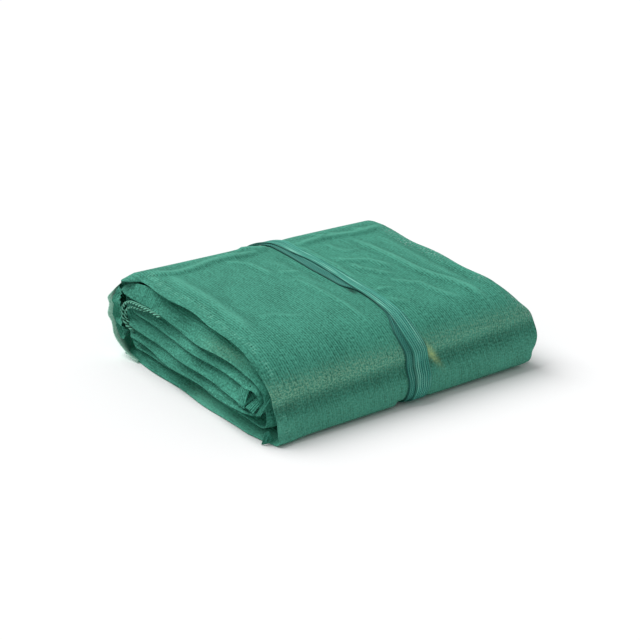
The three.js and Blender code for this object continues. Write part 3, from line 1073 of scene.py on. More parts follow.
@dataclass(frozen=True)
class BandFinish:
    """The bundle's band: a strip of net with thick selvedge cords along it."""

    shadow: Colour = linear(12, 60, 54)
    base: Colour = linear(87, 188, 165)
    deep: Colour = linear(22, 92, 86)
    pale: Colour = linear(150, 222, 200)
    grain: Speckle = Speckle(1.7, 2.8, 2.0, 0.6)
    sway: Speckle = Speckle(40.0, 110.0)
    streak: Speckle = Speckle(1.8, 90.0, 2.0, 0.6)
    cord_pitch: float = 4.7
    cord_sway: float = 0.5
    twist_pitch: float = 4.4
    stitch_pitch: float = 5.2
    cord_tone: float = 0.7
    twist_tone: float = 0.3
    grain_tone: float = 1.1
    streak_tone: float = 1.0
    least_tone: float = 0.22
    roughness: float = 0.7
    relief_depth: float = 0.8
    sheen: float = 0.03

    def build(self) -> Material:
        """Makes the material."""
        kit = Shader("net_band")
        across, along = kit.cloth()
        grain, sway, streak = map(kit.noise, (self.grain, self.sway, self.streak))
        cord = (across / self.cord_pitch + (sway - 0.5) * self.cord_sway).wave()
        twist = (along / self.twist_pitch + across / self.cord_pitch).wave()
        tone = (cord * self.cord_tone + (twist - 0.5) * self.twist_tone + (grain - 0.5) * self.grain_tone
                + (streak - 0.5) * self.streak_tone + self.least_tone)
        colour = kit.mix(tone.clip(), self.deep, self.base)
        line = (streak + cord * 0.22).above(0.66) * 4.0
        colour = kit.mix(line.clip(0.8), colour, self.pale)
        under = kit.attribute("under")
        stitch = (along / self.stitch_pitch - across / self.stitch_pitch).cycle().step(-0.2, 0.9)
        # Painted shade on the band's first, under strand, with its stitches showing through.
        colour = kit.mix(under * 0.7, colour, self.deep)
        colour = kit.mix(under * stitch * 0.3, colour, self.base)
        # Painted shadow along the band's edges.
        colour = kit.mix(kit.attribute("rim") * 0.6, colour, self.shadow)
        relief = cord * 0.7 + twist * 0.4 + grain * 0.4
        return kit.finish(colour, self.roughness, relief, self.relief_depth, self.sheen)


@dataclass(frozen=True)
class FloorFinish:
    """A plain white studio floor."""

    colour: Colour = (0.95, 0.95, 0.955)
    roughness: float = 0.95
    specular: float = 0.05

    def build(self) -> Material:
        """Makes the material."""
        return Shader("studio_floor").finish(self.colour, self.roughness, specular=self.specular)


class Grid:
    """A mesh made of rings of points, each ring a closed loop of the same count."""

    def __init__(self, name: str, rings: Array) -> None:
        """Keeps the rings.

        Args:
            name: the piece's name.
            rings: points by ring, by place in the ring, and by axis, in the bundle's frame.
        """
        self.name = name
        self.rings = rings

    def build(self, across: Array, along: Array, marks: dict[str, Array],
              material: Material) -> Piece:
        """Makes the piece.

        Args:
            across: how far across the cloth each point lies, in millimetres.
            along: how far along the cloth each point lies, in millimetres.
            marks: values kept on the points for the material.
            material: the finish.

        Returns:
            The piece.
        """
        ring_count, count, _ = self.rings.shape
        ring, place = np.meshgrid(np.arange(ring_count - 1), np.arange(count), indexing="ij")
        a = ring * count + place
        b = ring * count + (place + 1) % count
        quads = np.stack([a, b, b + count, a + count], axis=-1).reshape(-1, 4)
        caps = []
        half = count // 2
        last = (ring_count - 1) * count
        for i in range(half - 1):
            near = (i, i + 1, count - 2 - i, count - 1 - i)
            caps.append((near[0], near[3], near[2], near[1]))
            caps.append(tuple(last + n for n in near))
        faces = np.concatenate([quads, np.array(caps)])
        mesh = bpy.data.meshes.new(self.name)
        points = Bundle.to_model(self.rings.reshape(-1, 3))
        mesh.from_pydata(points.tolist(), [], faces.tolist())
        layer = mesh.uv_layers.new(name="cloth")
        corners = np.empty(len(mesh.loops), dtype=np.int64)
        mesh.loops.foreach_get("vertex_index", corners)
        uv = np.stack([across.reshape(-1)[corners], along.reshape(-1)[corners]], axis=-1) * METRES
        layer.data.foreach_set("uv", uv.reshape(-1))
        for key, values in marks.items():
            mark = mesh.attributes.new(key, "FLOAT", "POINT")
            mark.data.foreach_set("value", np.ascontiguousarray(values).reshape(-1).astype(np.float32))
        mesh.materials.append(material)
        mesh.shade_smooth()
        mesh.update()
        piece = bpy.data.objects.new(self.name, mesh)
        bpy.context.scene.collection.objects.link(piece)
        return piece


@dataclass(frozen=True)
class Patch:
    """A soft patch of a mark: a middle and a reach on each axis that it names, and a strength."""

    x: Pair | None = None
    y: Pair | None = None
    z: Pair | None = None
    strength: float = 1.0

    def at(self, points: Array) -> Array:
        """How strong the patch is at points."""
        given = [(axis, place) for axis, place in enumerate((self.x, self.y, self.z)) if place]
        bells = (bell(points[..., axis] - middle, reach) for axis, (middle, reach) in given)
        return self.strength * math.prod(bells)


@dataclass(frozen=True)
class NetMarks:
    """The masks that the net's finish reads.

    A Pair is where a mask starts and where it is full, a middle and a reach for those that end in
    _band, or the left end's value and how much is added on the way to the right end for those
    that end in _height.
    """

    relief: Relief
    front: Pair = (-180.0, -225.0)
    lower_front: Pair = (-200.0, -230.0)
    top: Pair = (110.0, 140.0)
    on_top: float = 120.0
    nose: Pair = (26.0, 14.0)
    crest_height: Pair = (84.0, 21.0)
    crest_reach: float = 17.0
    crest_right: Pair = (60.0, -140.0)
    crest_least: float = 0.75
    gold: tuple[Patch, ...] = (
        Patch(y=(-110.0, 60.0), z=(126.0, 14.0)),
        Patch(y=(-20.0, 50.0), z=(14.0, 9.0), strength=0.5),
    )
    gold_share: float = 0.5
    hem: Pair = (24.0, 10.0)
    selvedge_band: Pair = (19.0, 5.5)
    selvedge_end: float = 215.0
    stain: Patch = Patch(x=(75.0, 12.0))
    stain_line: tuple[float, ...] = (76.0, 78.0, -1.1, 11.0)
    # Where the painted notch shadow lies, beside the band.
    notch_shadow: Patch = Patch(x=(24.0, 6.0), y=(-68.0, 14.0))
    sparkle_band: Pair = (24.0, 11.0)
    sparkles: tuple[Patch, ...] = (
        Patch(y=(150.0, 26.0)), Patch(y=(86.0, 30.0)), Patch(y=(8.0, 40.0)), Patch(y=(-138.0, 12.0)),
    )
    corner_band: Pair = (8.0, 9.0)
    corner: Patch = Patch(y=(-225.0, 26.0))
    corner_low: float = 90.0
    foot_y: Pair = (-215.0, -240.0)
    foot_z: Pair = (112.0, 72.0)
    # The valley under the front's crest gets painted shade, and the front below it painted light.
    valley_height: Pair = (61.0, 20.0)
    valley_reach: float = 11.0
    valley_shade: float = 0.85
    below_valley: Pair = (-10.0, -28.0)
    below_valley_light: float = 0.42
    nose_foot_z: Pair = (22.0, 10.0)
    nose_foot_y: Pair = (20.0, -40.0)
    nose_foot_light: float = 0.9
    hem_lightening: float = 0.3
    hem_top: float = 100.0

    def build(self, bundle: Bundle, points: Array, line: Line, inset: Array, side: Array) -> dict[str, Array]:
        """Makes the masks.

        Args:
            bundle: the bundle.
            points: the rings.
            line: the strip's middle line.
            inset: each ring's inset from its lip.
            side: each ring's end, or 0.

        Returns:
            The masks by name.
        """
        x, y, z = (points[..., axis] for axis in range(3))
        outer = np.zeros(points.shape[:2])
        outer[:, :len(line.y)] = line.outer
        along = bundle.share_along(x)
        from_left, from_right = x - there_and_back(line.left), there_and_back(line.right) - x
        nose = ease(inset, *self.nose)[:, None] * (side != 0)[:, None] * (1 - outer)
        hem = outer * ease(from_left, *self.hem) * (side <= 0)[:, None]
        foot = outer * ease(y, *self.foot_y) * ease(z, *self.foot_z)

        # Painted sheen: pale flecks where the front's crest catches the light, and a little on the low front.
        crest_z = self.crest_height[0] + self.crest_height[1] * along
        strength = self.crest_least + (1 - self.crest_least) * ease(x, *self.crest_right)
        sheen_flecks = outer * ease(y, *self.front) * bell(z - crest_z, self.crest_reach) * strength
        # On the end bands' lower lips the pale flecks are partly the net's own and partly painted sheen.
        gold = nose * sum(patch.at(points) for patch in self.gold) * self.gold_share

        stain_x, stain_z, slant, stain_reach = self.stain_line
        stain_off = z - (stain_z + (x - stain_x) * slant)
        stain = outer * self.stain.at(points) * bell(stain_off, stain_reach) * (y < self.lower_front[0])

        # Where the painted see-through specks lie: along the right top edge and at the front-right corner.
        sparkle = np.clip(sum(patch.at(points) for patch in self.sparkles), 0, 1) * (z > self.on_top)
        sparkle = sparkle * bell(from_right - self.sparkle_band[0], self.sparkle_band[1])
        corner = bell(from_right - self.corner_band[0], self.corner_band[1]) * (z > self.corner_low)

        # Painted shade in the valley under the front's crest, and painted light on the front below it.
        valley = z - (self.valley_height[0] + self.valley_height[1] * along)
        shade = self.below_valley_light * ease(valley, *self.below_valley)
        shade = shade - self.valley_shade * bell(valley, self.valley_reach)
        # Painted highlight and shade on the top's ridges and their flanks, partly the stretched net's own
        # wear.
        wear_and_shading = self.relief.top_wear_and_shading(x, y) * outer * ease(z, *self.top)
        wear_and_shading = wear_and_shading + shade * outer * ease(y, *self.lower_front)
        # Painted light on the low part of the folded ends towards the front.
        wear_and_shading = wear_and_shading + self.nose_foot_light * nose * ease(z, *self.nose_foot_z) * ease(y, *self.nose_foot_y)
        # The outer ply's hem is made lighter below hem_top.
        wear_and_shading = wear_and_shading + self.hem_lightening * hem * (z < self.hem_top)

        selvedge = bell(from_left - self.selvedge_band[0], self.selvedge_band[1])
        # smooth marks where the knit is smoothed; the finish also darkens the net there as painted shade.
        return {
            "sheen_flecks": np.clip(sheen_flecks + 0.14 * foot + gold, 0, 1),
            "selvedge": outer * selvedge * (y < self.selvedge_end),
            "stain": np.clip(stain, 0, 1),
            "wear_and_shading": np.clip(wear_and_shading, -1, 1),
            "sparkle": np.clip(outer * (sparkle + corner * self.corner.at(points)), 0, 1),
            "smooth": np.clip(nose + hem * 0.7 + foot * 0.6, 0, 1),
            "notch_shadow": outer * self.notch_shadow.at(points) * (z > self.on_top),
        }


@dataclass
class FoldedNet:
    """The net: one thick strip of plies, folded through the bundle."""

    bundle: Bundle
    relief: Relief
    lip: float = 2.0
    left_insets: tuple[float, ...] = (0.0, 0.6, 1.8, 4.0, 7.0, 11.0, 16.0, 22.0, 30.0)
    left_slope: float = 1.08
    right_insets: tuple[float, ...] = (0.0, 0.5, 1.4, 2.8, 4.8, 7.6, 11.5, 18.0)
    right_slope: float = 1.7
    outer_step: float = 3.3
    inner_step: float = 12.0
    body: Pair = (-246.0, 272.0)
    between: float = 99.0
    lip_full_at: float = 1.2
    lip_least: float = 0.12
    least_swell: float = 0.1
    edge_rounding: float = 0.6

    def stations(self, step: float) -> tuple[Array, Array, Array]:
        """Where the stations along X lie.

        Args:
            step: the distance between those that aren't at the ends.

        Returns:
            Each station's side, -1 for the left end, 1 for the right end and 0 for between;
            its inset from that lip; and its X where it is between.
        """
        first, last = self.body
        body = np.linspace(first, last, int((last - first) / step))
        left, right = np.array(self.left_insets), np.array(self.right_insets)
        side = np.concatenate([-np.ones(len(left)), np.zeros(len(body)), np.ones(len(right))])
        inset = np.concatenate([left, np.full(len(body), self.between), right[::-1]])
        place = np.concatenate([np.zeros(len(left)), body, np.zeros(len(right))])
        return side, inset, place

    def rings(self, line: Line, step: float, rounded: tuple[bool, bool]) -> tuple[Array, ...]:
        """The strip's rings, one at each station.

        Args:
            line: the strip's middle line.
            step: the distance between the rings.
            rounded: whether the line's first and its last end are rounded.

        Returns:
            The points; how far across the cloth they lie; and each ring's side and inset.
        """
        bundle = self.bundle
        side, inset, place = self.stations(step)
        normal_y, normal_z = line.normals()
        upright = np.abs(normal_y)
        depth = np.where(side < 0, self.left_insets[-1], self.right_insets[-1])
        slope = np.where(side < 0, self.left_slope, self.right_slope)
        swell = 1 - np.clip(1 - inset / depth, 0, 1) ** slope
        lip = self.lip * np.sqrt(np.clip(inset / self.lip_full_at, self.lip_least, 1))
        rings, across = [], []
        for k in range(len(side)):
            if side[k] < 0:
                x = line.left + inset[k]
                lift = line.left_lift
            elif side[k] > 0:
                x = line.right - inset[k]
                lift = line.right_lift
            else:
                x = np.full(len(line.y), place[k])
                lift = np.zeros(len(line.y))
            open_share = 1 - swell[k]
            half = lip[k] / 2 * open_share + bundle.half_pack * swell[k]
            level = (lift + lip[k] / 2 - bundle.half_pack) * (1 - upright)
            outward = line.close * (bundle.half_pack - lip[k] / 2) * upright
            middle_y = line.y - normal_y * outward * open_share
            middle_z = line.z + (level - normal_z * outward) * open_share
            one = bundle.settle(x, middle_y - half * normal_y, middle_z - half * normal_z)
            other = bundle.settle(x, middle_y + half * normal_y, middle_z + half * normal_z)
            rounding = self.edge_rounding * bundle.half_pack * max(swell[k], self.least_swell)
            end = bundle.settle(x[-1], middle_y[-1] + rounding * rounded[1], middle_z[-1])
            start = bundle.settle(x[0], middle_y[0] - rounding * rounded[0], middle_z[0])
            rings.append(np.concatenate([one, end[None], other[::-1], start[None]]))
            across.append(there_and_back(x))
        return np.array(rings), np.array(across), side, inset

    def crease(self, points: Array, line: Line) -> Array:
        """Adds the creases of the outer ply to the rings' outer side.

        Args:
            points: the rings.
            line: the strip's middle line.

        Returns:
            The rings, creased.
        """
        count = len(line.y)
        normal_y, normal_z = line.normals()
        outer = points[:, :count]
        up = np.clip(-normal_z, 0, 1) * line.outer
        out = np.clip(normal_y, 0, 1) * line.outer * (line.y < 0)
        x, y, z = outer[..., 0], outer[..., 1], outer[..., 2]
        top = self.relief.top_rise(x, y) * up
        front = self.relief.front_rise(x, z) * out
        rise = top + front
        outer[..., 1] -= rise * normal_y
        outer[..., 2] -= rise * normal_z
        return points

    def build(self, material: Material) -> list[Piece]:
        """Makes the folded net, as its inner layers and its outermost turn.

        Args:
            material: its finish.

        Returns:
            The pieces.
        """
        line = self.bundle.line()
        run = line.run()
        joint = int(np.argmax(line.outer > 0.5))
        parts = (("net_inner", 0, joint, self.inner_step, (True, False)),
                 ("net_outer", joint - 1, len(run), self.outer_step, (False, True)))
        return [self.piece(name, line.cut(first, last), run[first:last], step, rounded, material)
                for name, first, last, step, rounded in parts]

    def piece(self, name: str, line: Line, run: Array, step: float, rounded: tuple[bool, bool],
              material: Material) -> Piece:
        """Makes one part of the strip.

        Args:
            name: the piece's name.
            line: its part of the middle line.
            run: the length along the strip at each point of the line.
            step: the distance between its rings.
            rounded: whether its first and its last end are rounded.
            material: its finish.

        Returns:
            The piece.
        """
        points, across, side, inset = self.rings(line, step, rounded)
        points = self.crease(points, line)
        along = np.broadcast_to(there_and_back(run), across.shape)
        across = self.follow_nose(points, across, side)
        marks = NetMarks(self.relief).build(self.bundle, points, line, inset, side)
        piece = Grid(name, points).build(across, along, marks, material)
        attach(piece, "root")
        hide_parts("net")
        return piece

    @staticmethod
    def follow_nose(points: Array, across: Array, side: Array) -> Array:
        """Measures how far across the cloth the points of its rounded ends lie.

        Args:
            points: the rings.
            across: the points' X.
            side: each ring's end, or 0.

        Returns:
            The distance across the cloth.
        """
        result = across.copy()
        steps = np.linalg.norm(np.diff(points, axis=0), axis=-1)
        left = int(np.sum(side < 0)) - 1
        for k in range(left - 1, -1, -1):
            result[k] = result[k + 1] - steps[k]
        right = len(side) - int(np.sum(side > 0))
        for k in range(right + 1, len(side)):
            result[k] = result[k - 1] + steps[k - 1]
        return result


class Ply:
    """A thin sheet made from a grid of points."""

    def __init__(self, name: str, grid: Array, thickness: float) -> None:
        """Keeps the sheet's middle surface.

        Args:
            name: the piece's name.
            grid: points by row, by column and by axis, in the bundle's frame.
            thickness: the sheet's thickness.
        """
        self.name = name
        self.grid = grid
        self.thickness = thickness

    def build(self, material: Material, held: str, rests_on: Sequence[str],
              marks: dict[str, Array] | None = None) -> Piece:
        """Makes the sheet, closed round its edges.

        Args:
            material: the finish.
            held: not used.
            rests_on: what it lies on.
            marks: values kept on the grid's points for the material.

        Returns:
            The piece.
        """
        grid = self.grid
        normal = np.cross(np.gradient(grid, axis=0), np.gradient(grid, axis=1))
        normal /= np.maximum(np.linalg.norm(normal, axis=-1, keepdims=True), SMALL)
        offset = normal * self.thickness / 2
        loops = np.concatenate([grid - offset, (grid + offset)[:, ::-1]], axis=1)
        across = add_up(np.linalg.norm(np.diff(grid, axis=1), axis=-1), axis=1)
        along = add_up(np.linalg.norm(np.diff(grid, axis=0), axis=-1))
        kept = {"across": across, "along": along, **(marks or {})}
        kept = {key: np.concatenate([value, value[:, ::-1]], axis=1) for key, value in kept.items()}
        piece = Grid(self.name, loops).build(kept.pop("across"), kept.pop("along"), kept, material)
        width, length = float(across[:, -1].mean()), float(along[-1].mean())
        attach(piece, "root")
        max(width, 10.5) * METRES
        max(length, 10.5) * METRES
        list(rests_on)
        return piece


@dataclass
class BackEnd:
    """The left end of the back turn: a pale single ply round it, and gathers inside the ply.

    lip rows are a place round the bundle and the ply's lip there, Y, Z and X. gathers rows are a
    share of the way down, the outer Y and Z, and the inner Y and Z. pockets rows are a share of
    the way down, a reach and a depth. A crimp is a height, and how fast it waves down and over.
    """

    bundle: Bundle
    base_x: float = -274.0
    begin: float = 3.3
    end: float = 4.14
    ply_thickness: float = 1.2
    ply_sink: float = 1.2
    ply_rise: float = 1.6
    ply_rise_share: float = 0.5
    narrow_run: float = 0.07
    narrow_least: float = 0.2
    flare_power: float = 1.8
    ground_gap: float = 0.1
    thin_x: Pair = (-290.0, -314.0)
    columns: int = 18
    lip: Rows = (
        (3.2, 247, 148, -304), (3.3, 260, 136, -312), (3.42, 281, 115, -319), (3.5, 280, 101, -317),
        (3.6, 283, 78, -320), (3.66, 274, 64, -317), (3.75, 266, 43, -318), (3.84, 252, 31, -318),
        (3.92, 232, 20, -316), (4.02, 205, 8, -311), (4.14, 168, 2, -304),
    )
    gathers: Rows = (
        (0.0, 252, 143, 240, 136), (0.14, 268, 128, 250, 124), (0.28, 284, 107, 252, 111),
        (0.47, 287, 85, 249, 88), (0.65, 281, 66, 247, 65), (0.84, 272, 48, 246, 50), (1.0, 256, 32, 242, 36),
    )
    pockets: Rows = ((0.12, 0.07, 7), (0.47, 0.12, 20), (0.84, 0.11, 24))
    gather_grid: tuple[int, int] = (80, 22)
    gather_x: float = -308.0
    gather_thickness: float = 1.4
    gather_light: float = 0.7
    pocket_squareness: float = 3.0
    fine_crimp: tuple[float, ...] = (1.6, 57, 4)
    broad_crimp: tuple[float, ...] = (1.2, 9, 19)

    def outer_ply(self) -> Array:
        """The pale ply's middle surface, from inside the pack's outside to its own lip."""
        bundle = self.bundle
        at, y, z = bundle.route(5.0, self.begin, self.end)
        normal_y, normal_z = line_normals(y, z)
        lip_y, lip_z, lip_x = follow(self.lip, at)
        narrow = smooth_step(np.minimum(at - self.begin, self.end - at) / self.narrow_run)
        base_x = np.full(len(at), self.base_x)
        rows = []
        for part in np.linspace(0, 1, self.columns):
            off = bundle.half_pack - self.ply_sink + self.ply_rise * smooth_step(part / self.ply_rise_share)
            base = bundle.settle(base_x, y + normal_y * off, z + normal_z * off)
            reach = part * (self.narrow_least + (1 - self.narrow_least) * narrow)
            ease_out = reach ** self.flare_power
            rows.append(np.stack([base_x + (lip_x - base_x) * reach,
                                  base[:, 1] + (lip_y - base[:, 1]) * ease_out,
                                  base[:, 2] + (lip_z - base[:, 2]) * ease_out], axis=-1))
        grid = np.stack(rows, axis=1)
        grid[..., 2] = np.maximum(grid[..., 2], self.ply_thickness / 2 + self.ground_gap)
        return grid

    def gather_surface(self) -> Array:
        """The gathers' middle surface: deep pockets between soft ridges."""
        down, over = np.meshgrid(*(np.linspace(0, 1, count) for count in self.gather_grid), indexing="ij")
        outer_y, outer_z, inner_y, inner_z = follow(self.gathers, down)
        depth = sum(deep * np.exp(-np.abs((down - middle) / reach) ** self.pocket_squareness)
                    for middle, reach, deep in self.pockets)
        bowl = np.sin(np.clip(over, 0, 1) * math.pi) ** 0.5
        fine, broad = (height * np.sin(down * fast_down + over * fast_over)
                       for height, fast_down, fast_over in (self.fine_crimp, self.broad_crimp))
        return np.stack([self.gather_x + depth * bowl + fine * over + broad,
                         outer_y + (inner_y - outer_y) * over, outer_z + (inner_z - outer_z) * over], axis=-1)

    def build(self, sheer: Material, material: Material) -> list[Piece]:
        """Makes the ply and its gathers.

        Args:
            sheer: the pale ply's finish.
            material: the gathers' finish.

        Returns:
            The pieces.
        """
        surface = self.outer_ply()
        thin = {"thin": ease(surface[..., 0], *self.thin_x)}
        ply = Ply("sheer_back_ply", surface, self.ply_thickness).build(sheer, "folded", ["net_outer"], thin)
        grid = self.gather_surface()
        # Painted light: the gathers, shaded inside the pale ply, are made paler all over.
        wear_and_shading = {"wear_and_shading": np.full(grid.shape[:2], self.gather_light)}
        gathers = Ply("back_gathers", grid, self.gather_thickness)
        return [ply, gathers.build(material, "gathered", ["net_outer"], wear_and_shading)]


@dataclass(frozen=True)
class Flap:
    """A small loose piece of ply between an upper and a lower edge, each through points.

    bulge is how far the middle stands out, and wear_and_shading how much paler the ply is painted, or darker
    where below 0; on these recessed leaves and corners it is below 0, as painted shade.
    """

    name: str
    upper: Rows
    lower: Rows
    bulge: float
    thickness: float = 1.6
    ripples: float = 0.0
    wear_and_shading: float = 0.0
    smooth: float = 0.0
    columns: int = 22
    rows: int = 26
    ripple_speed: float = 34.0
    bulge_at_top: float = 0.35

    def edge(self, points: Rows, over: Array) -> Array:
        """An edge through points, followed to shares of its way over."""
        rows = [(k / (len(points) - 1), *point) for k, point in enumerate(points)]
        return np.stack(follow(rows, over), axis=-1)

    def build(self, material: Material) -> Piece:
        """Makes the flap.

        Args:
            material: its finish.

        Returns:
            The piece.
        """
        down, over = np.meshgrid(np.linspace(0, 1, self.rows), np.linspace(0, 1, self.columns), indexing="ij")
        high, low = self.edge(self.upper, over), self.edge(self.lower, over)
        down, over = down[..., None], over[..., None]
        grid = high * (1 - down) + low * down
        out = np.cross(grid[0, -1] - grid[0, 0], grid[-1, 0] - grid[0, 0])
        out = out / np.linalg.norm(out) * np.sign(-out[0])
        fuller = self.bulge_at_top + (1 - self.bulge_at_top) * np.sin(down * math.pi / 2)
        rib = self.ripples * np.sin(over * self.ripple_speed) * smooth_step(down * 4)
        grid = grid + out * (self.bulge * np.sin(over * math.pi) * fuller + rib)
        marks = {"wear_and_shading": np.full(grid.shape[:2], self.wear_and_shading), "smooth": np.full(grid.shape[:2], self.smooth)}
        return Ply(self.name, grid, self.thickness).build(material, "folded", ["net_outer"], marks)


@dataclass(frozen=True)
class Edging:
    """A twisted, stitched edging that follows listed points, each an X, a Y and a Z."""

    name: str
    points: Rows
    radius: float = 3.7
    lobes: int = 2
    twist: float = 11.0
    flatness: float = 0.8
    step: float = 1.4
    sides: int = 24
    waist: float = 0.62
    tip: float = 0.02

    def centre(self) -> Array:
        """The middle line, evenly spaced."""
        points = np.array(self.points, float)
        place = add_up(np.linalg.norm(np.diff(points, axis=0), axis=-1))
        at = np.linspace(0, place[-1], int(place[-1] / self.step))
        return np.stack(follow([(one, *point) for one, point in zip(place, points)], at), axis=-1)

    def build(self, material: Material) -> Piece:
        """Makes the edging.

        Args:
            material: its finish.

        Returns:
            The piece.
        """
        line = self.centre()
        tangent = np.gradient(line, axis=0)
        tangent /= np.linalg.norm(tangent, axis=-1, keepdims=True)
        first = np.cross(tangent, np.array([1.0, 0.0, 0.0]))
        first /= np.linalg.norm(first, axis=-1, keepdims=True)
        second = np.cross(tangent, first)
        run = np.arange(len(line)) * self.step
        turn = np.linspace(0, 2 * math.pi, self.sides, endpoint=False)
        ends = np.sqrt(np.clip(np.minimum(run, run[-1] - run) / self.radius, self.tip, 1))
        phase = turn[None] * self.lobes + (run / self.twist * 2 * math.pi)[:, None]
        strand = 0.5 + 0.5 * np.cos(phase)
        radius = self.radius * (self.waist + (1 - self.waist) * strand) * ends[:, None]
        rings = (line[:, None] + first[:, None] * (radius * np.cos(turn) * self.flatness)[..., None]
                 + second[:, None] * (radius * np.sin(turn))[..., None])
        across = np.broadcast_to(turn * self.radius, radius.shape)
        along = np.broadcast_to(run[:, None], radius.shape)
        piece = Grid(self.name, rings).build(across, along, {"strand": strand}, material)
        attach(piece, "root")
        return piece


@dataclass
class TieBand:
    """The band: one flat strip of net wound twice, the second time beside and over the first.

    places are rows of a place round the bundle, the band's middle on its first and second time
    round, and its width on each. cords are rows of a place across, a reach and a height, and
    seam is the height, the place beside its cord and the reach of the dent along each.
    """

    bundle: Bundle
    relief: Relief
    thickness: float = 2.4
    clearance: float = 0.8
    lap_clearance: float = 0.5
    lap_rise_from: float = 4.5
    end: float = 9.35
    step: float = 5.0
    places: Rows = (
        (0, 12, 12, 30, 30), (1, 4, 10, 30, 30), (1.22, 5, 15, 30, 31), (1.27, 10, 25, 31, 33),
        (1.33, 18, 34, 33, 35), (1.4, 22, 37.5, 34, 36), (1.5, 25, 42, 34, 36), (1.6, 28, 45, 34, 37),
        (1.82, 24, 38, 34, 36), (2, 39, 42.5, 26, 29), (2.18, 43, 43.5, 22, 25), (2.27, 41, 43, 22, 24),
        (2.34, 31, 43.5, 25, 23), (2.45, 30.5, 45.5, 24, 21), (2.6, 30, 48.5, 25, 20),
        (2.72, 32, 50, 24, 19), (2.86, 35, 48, 25, 24), (3, 34, 46, 27, 27), (3.12, 22, 34, 29, 29),
        (3.25, 6, 16, 30, 30), (3.5, -6, 4, 30, 30), (4, 2, 6, 30, 30), (5, 12, 12, 30, 30),
    )
    cords: Rows = (
        (-0.88, 0.1, 1.2), (-0.56, 0.09, 0.7), (-0.26, 0.09, 0.6), (0.04, 0.09, 0.7), (0.32, 0.08, 0.8),
        (0.58, 0.08, 1.0), (0.86, 0.1, 1.3),
    )
    seam: tuple[float, ...] = (0.35, 0.1, 0.04)
    rim: Pair = (0.76, 0.98)
    squareness: int = 5
    upper_points: int = 43
    upper_reach: float = 0.965
    lower_points: int = 11
    lower_reach: float = 0.93
    shade_from: float = 0.4
    top_from: float = 100.0

    def rounded(self, across: Array) -> Array:
        """Half the band's thickness at places across it."""
        return self.thickness / 2 * np.power(np.clip(1 - np.abs(across) ** self.squareness, 0, 1), 0.5)

    def section(self) -> tuple[Array, Array]:
        """The band's cross-section, as places across from -1 to 1 and heights out."""
        middle = np.linspace(-self.upper_reach, self.upper_reach, self.upper_points)
        upper = np.concatenate([[-1.0, -0.99], middle, [0.99, 1.0]])
        dent, beside, dent_reach = self.seam
        inside = smooth_step((1 - np.abs(upper)) / dent_reach)
        raised = self.rounded(upper)
        for place, reach, height in self.cords:
            cord = height * bell(upper - place, reach) - dent * bell(upper - place - beside, dent_reach)
            raised = raised + cord * inside
        lower = np.linspace(self.lower_reach, -self.lower_reach, self.lower_points)
        return np.concatenate([upper, lower]), np.concatenate([raised, -self.rounded(lower)])

    def build(self, material: Material) -> Piece:
        """Makes the band.

        Args:
            material: its finish.

        Returns:
            The piece.
        """
        bundle = self.bundle
        at, y, z = bundle.route(self.step, 0.0, self.end)
        normal_y, normal_z = line_normals(y, z)
        is_first = at < ONCE_ROUND
        first, second, first_width, second_width = follow(self.places, at % ONCE_ROUND)
        middle = np.where(is_first, first, second)
        half_width = np.where(is_first, first_width, second_width) / 2
        lap = ease(at, self.lap_rise_from, ONCE_ROUND)
        inner = bundle.half_pack + self.clearance + self.thickness / 2
        out = inner + (self.thickness + self.lap_clearance) * lap
        across, height = self.section()
        off = out[:, None] + height[None]
        cloth_across = half_width[:, None] * across[None]
        x = middle[:, None] + cloth_across
        rings = bundle.settle(x, y[:, None] + normal_y[:, None] * off, z[:, None] + normal_z[:, None] * off)
        up = np.clip(normal_z, 0, 1)[:, None] * (z > self.top_from)[:, None]
        rings[..., 2] += self.relief.top_rise(rings[..., 0], rings[..., 1]) * up
        forward = np.clip(-normal_y, 0, 1)[:, None]
        rings[..., 1] -= self.relief.front_rise(rings[..., 0], rings[..., 2]) * forward
        run = add_up(np.hypot(np.diff(y), np.diff(z)))
        # Painted shade on the band's first time round, strongest where it faces up.
        shaded = is_first * (self.shade_from + (1 - self.shade_from) * np.clip(normal_z, 0, 1))
        cloth_along, under, rim = (np.broadcast_to(values, cloth_across.shape) for values in (
            run[:, None], shaded[:, None], ease(np.abs(across), *self.rim)[None]))
        # rim marks the band's edges, where the finish paints a shadow.
        marks = {"under": under, "rim": rim}
        piece = Grid("tie_band", rings).build(cloth_across, cloth_along, marks, material)
        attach(piece, "root")
        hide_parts("tie")
        return piece


EDGINGS = (
    Edging("core_edging", (
        (-305, 92, 128), (-308, 120, 131), (-309, 150, 131), (-309, 180, 129), (-309, 206, 125),
        (-309, 228, 114), (-309, 239, 98), (-308, 239, 82), (-307, 227, 70), (-304, 205, 64))),
    Edging("core_edging_inner", (
        (-303, 148, 122), (-307, 172, 121), (-308, 198, 117), (-308, 216, 109), (-308, 228, 97),
        (-307, 228, 84), (-305, 217, 76)), radius=3.0),
)
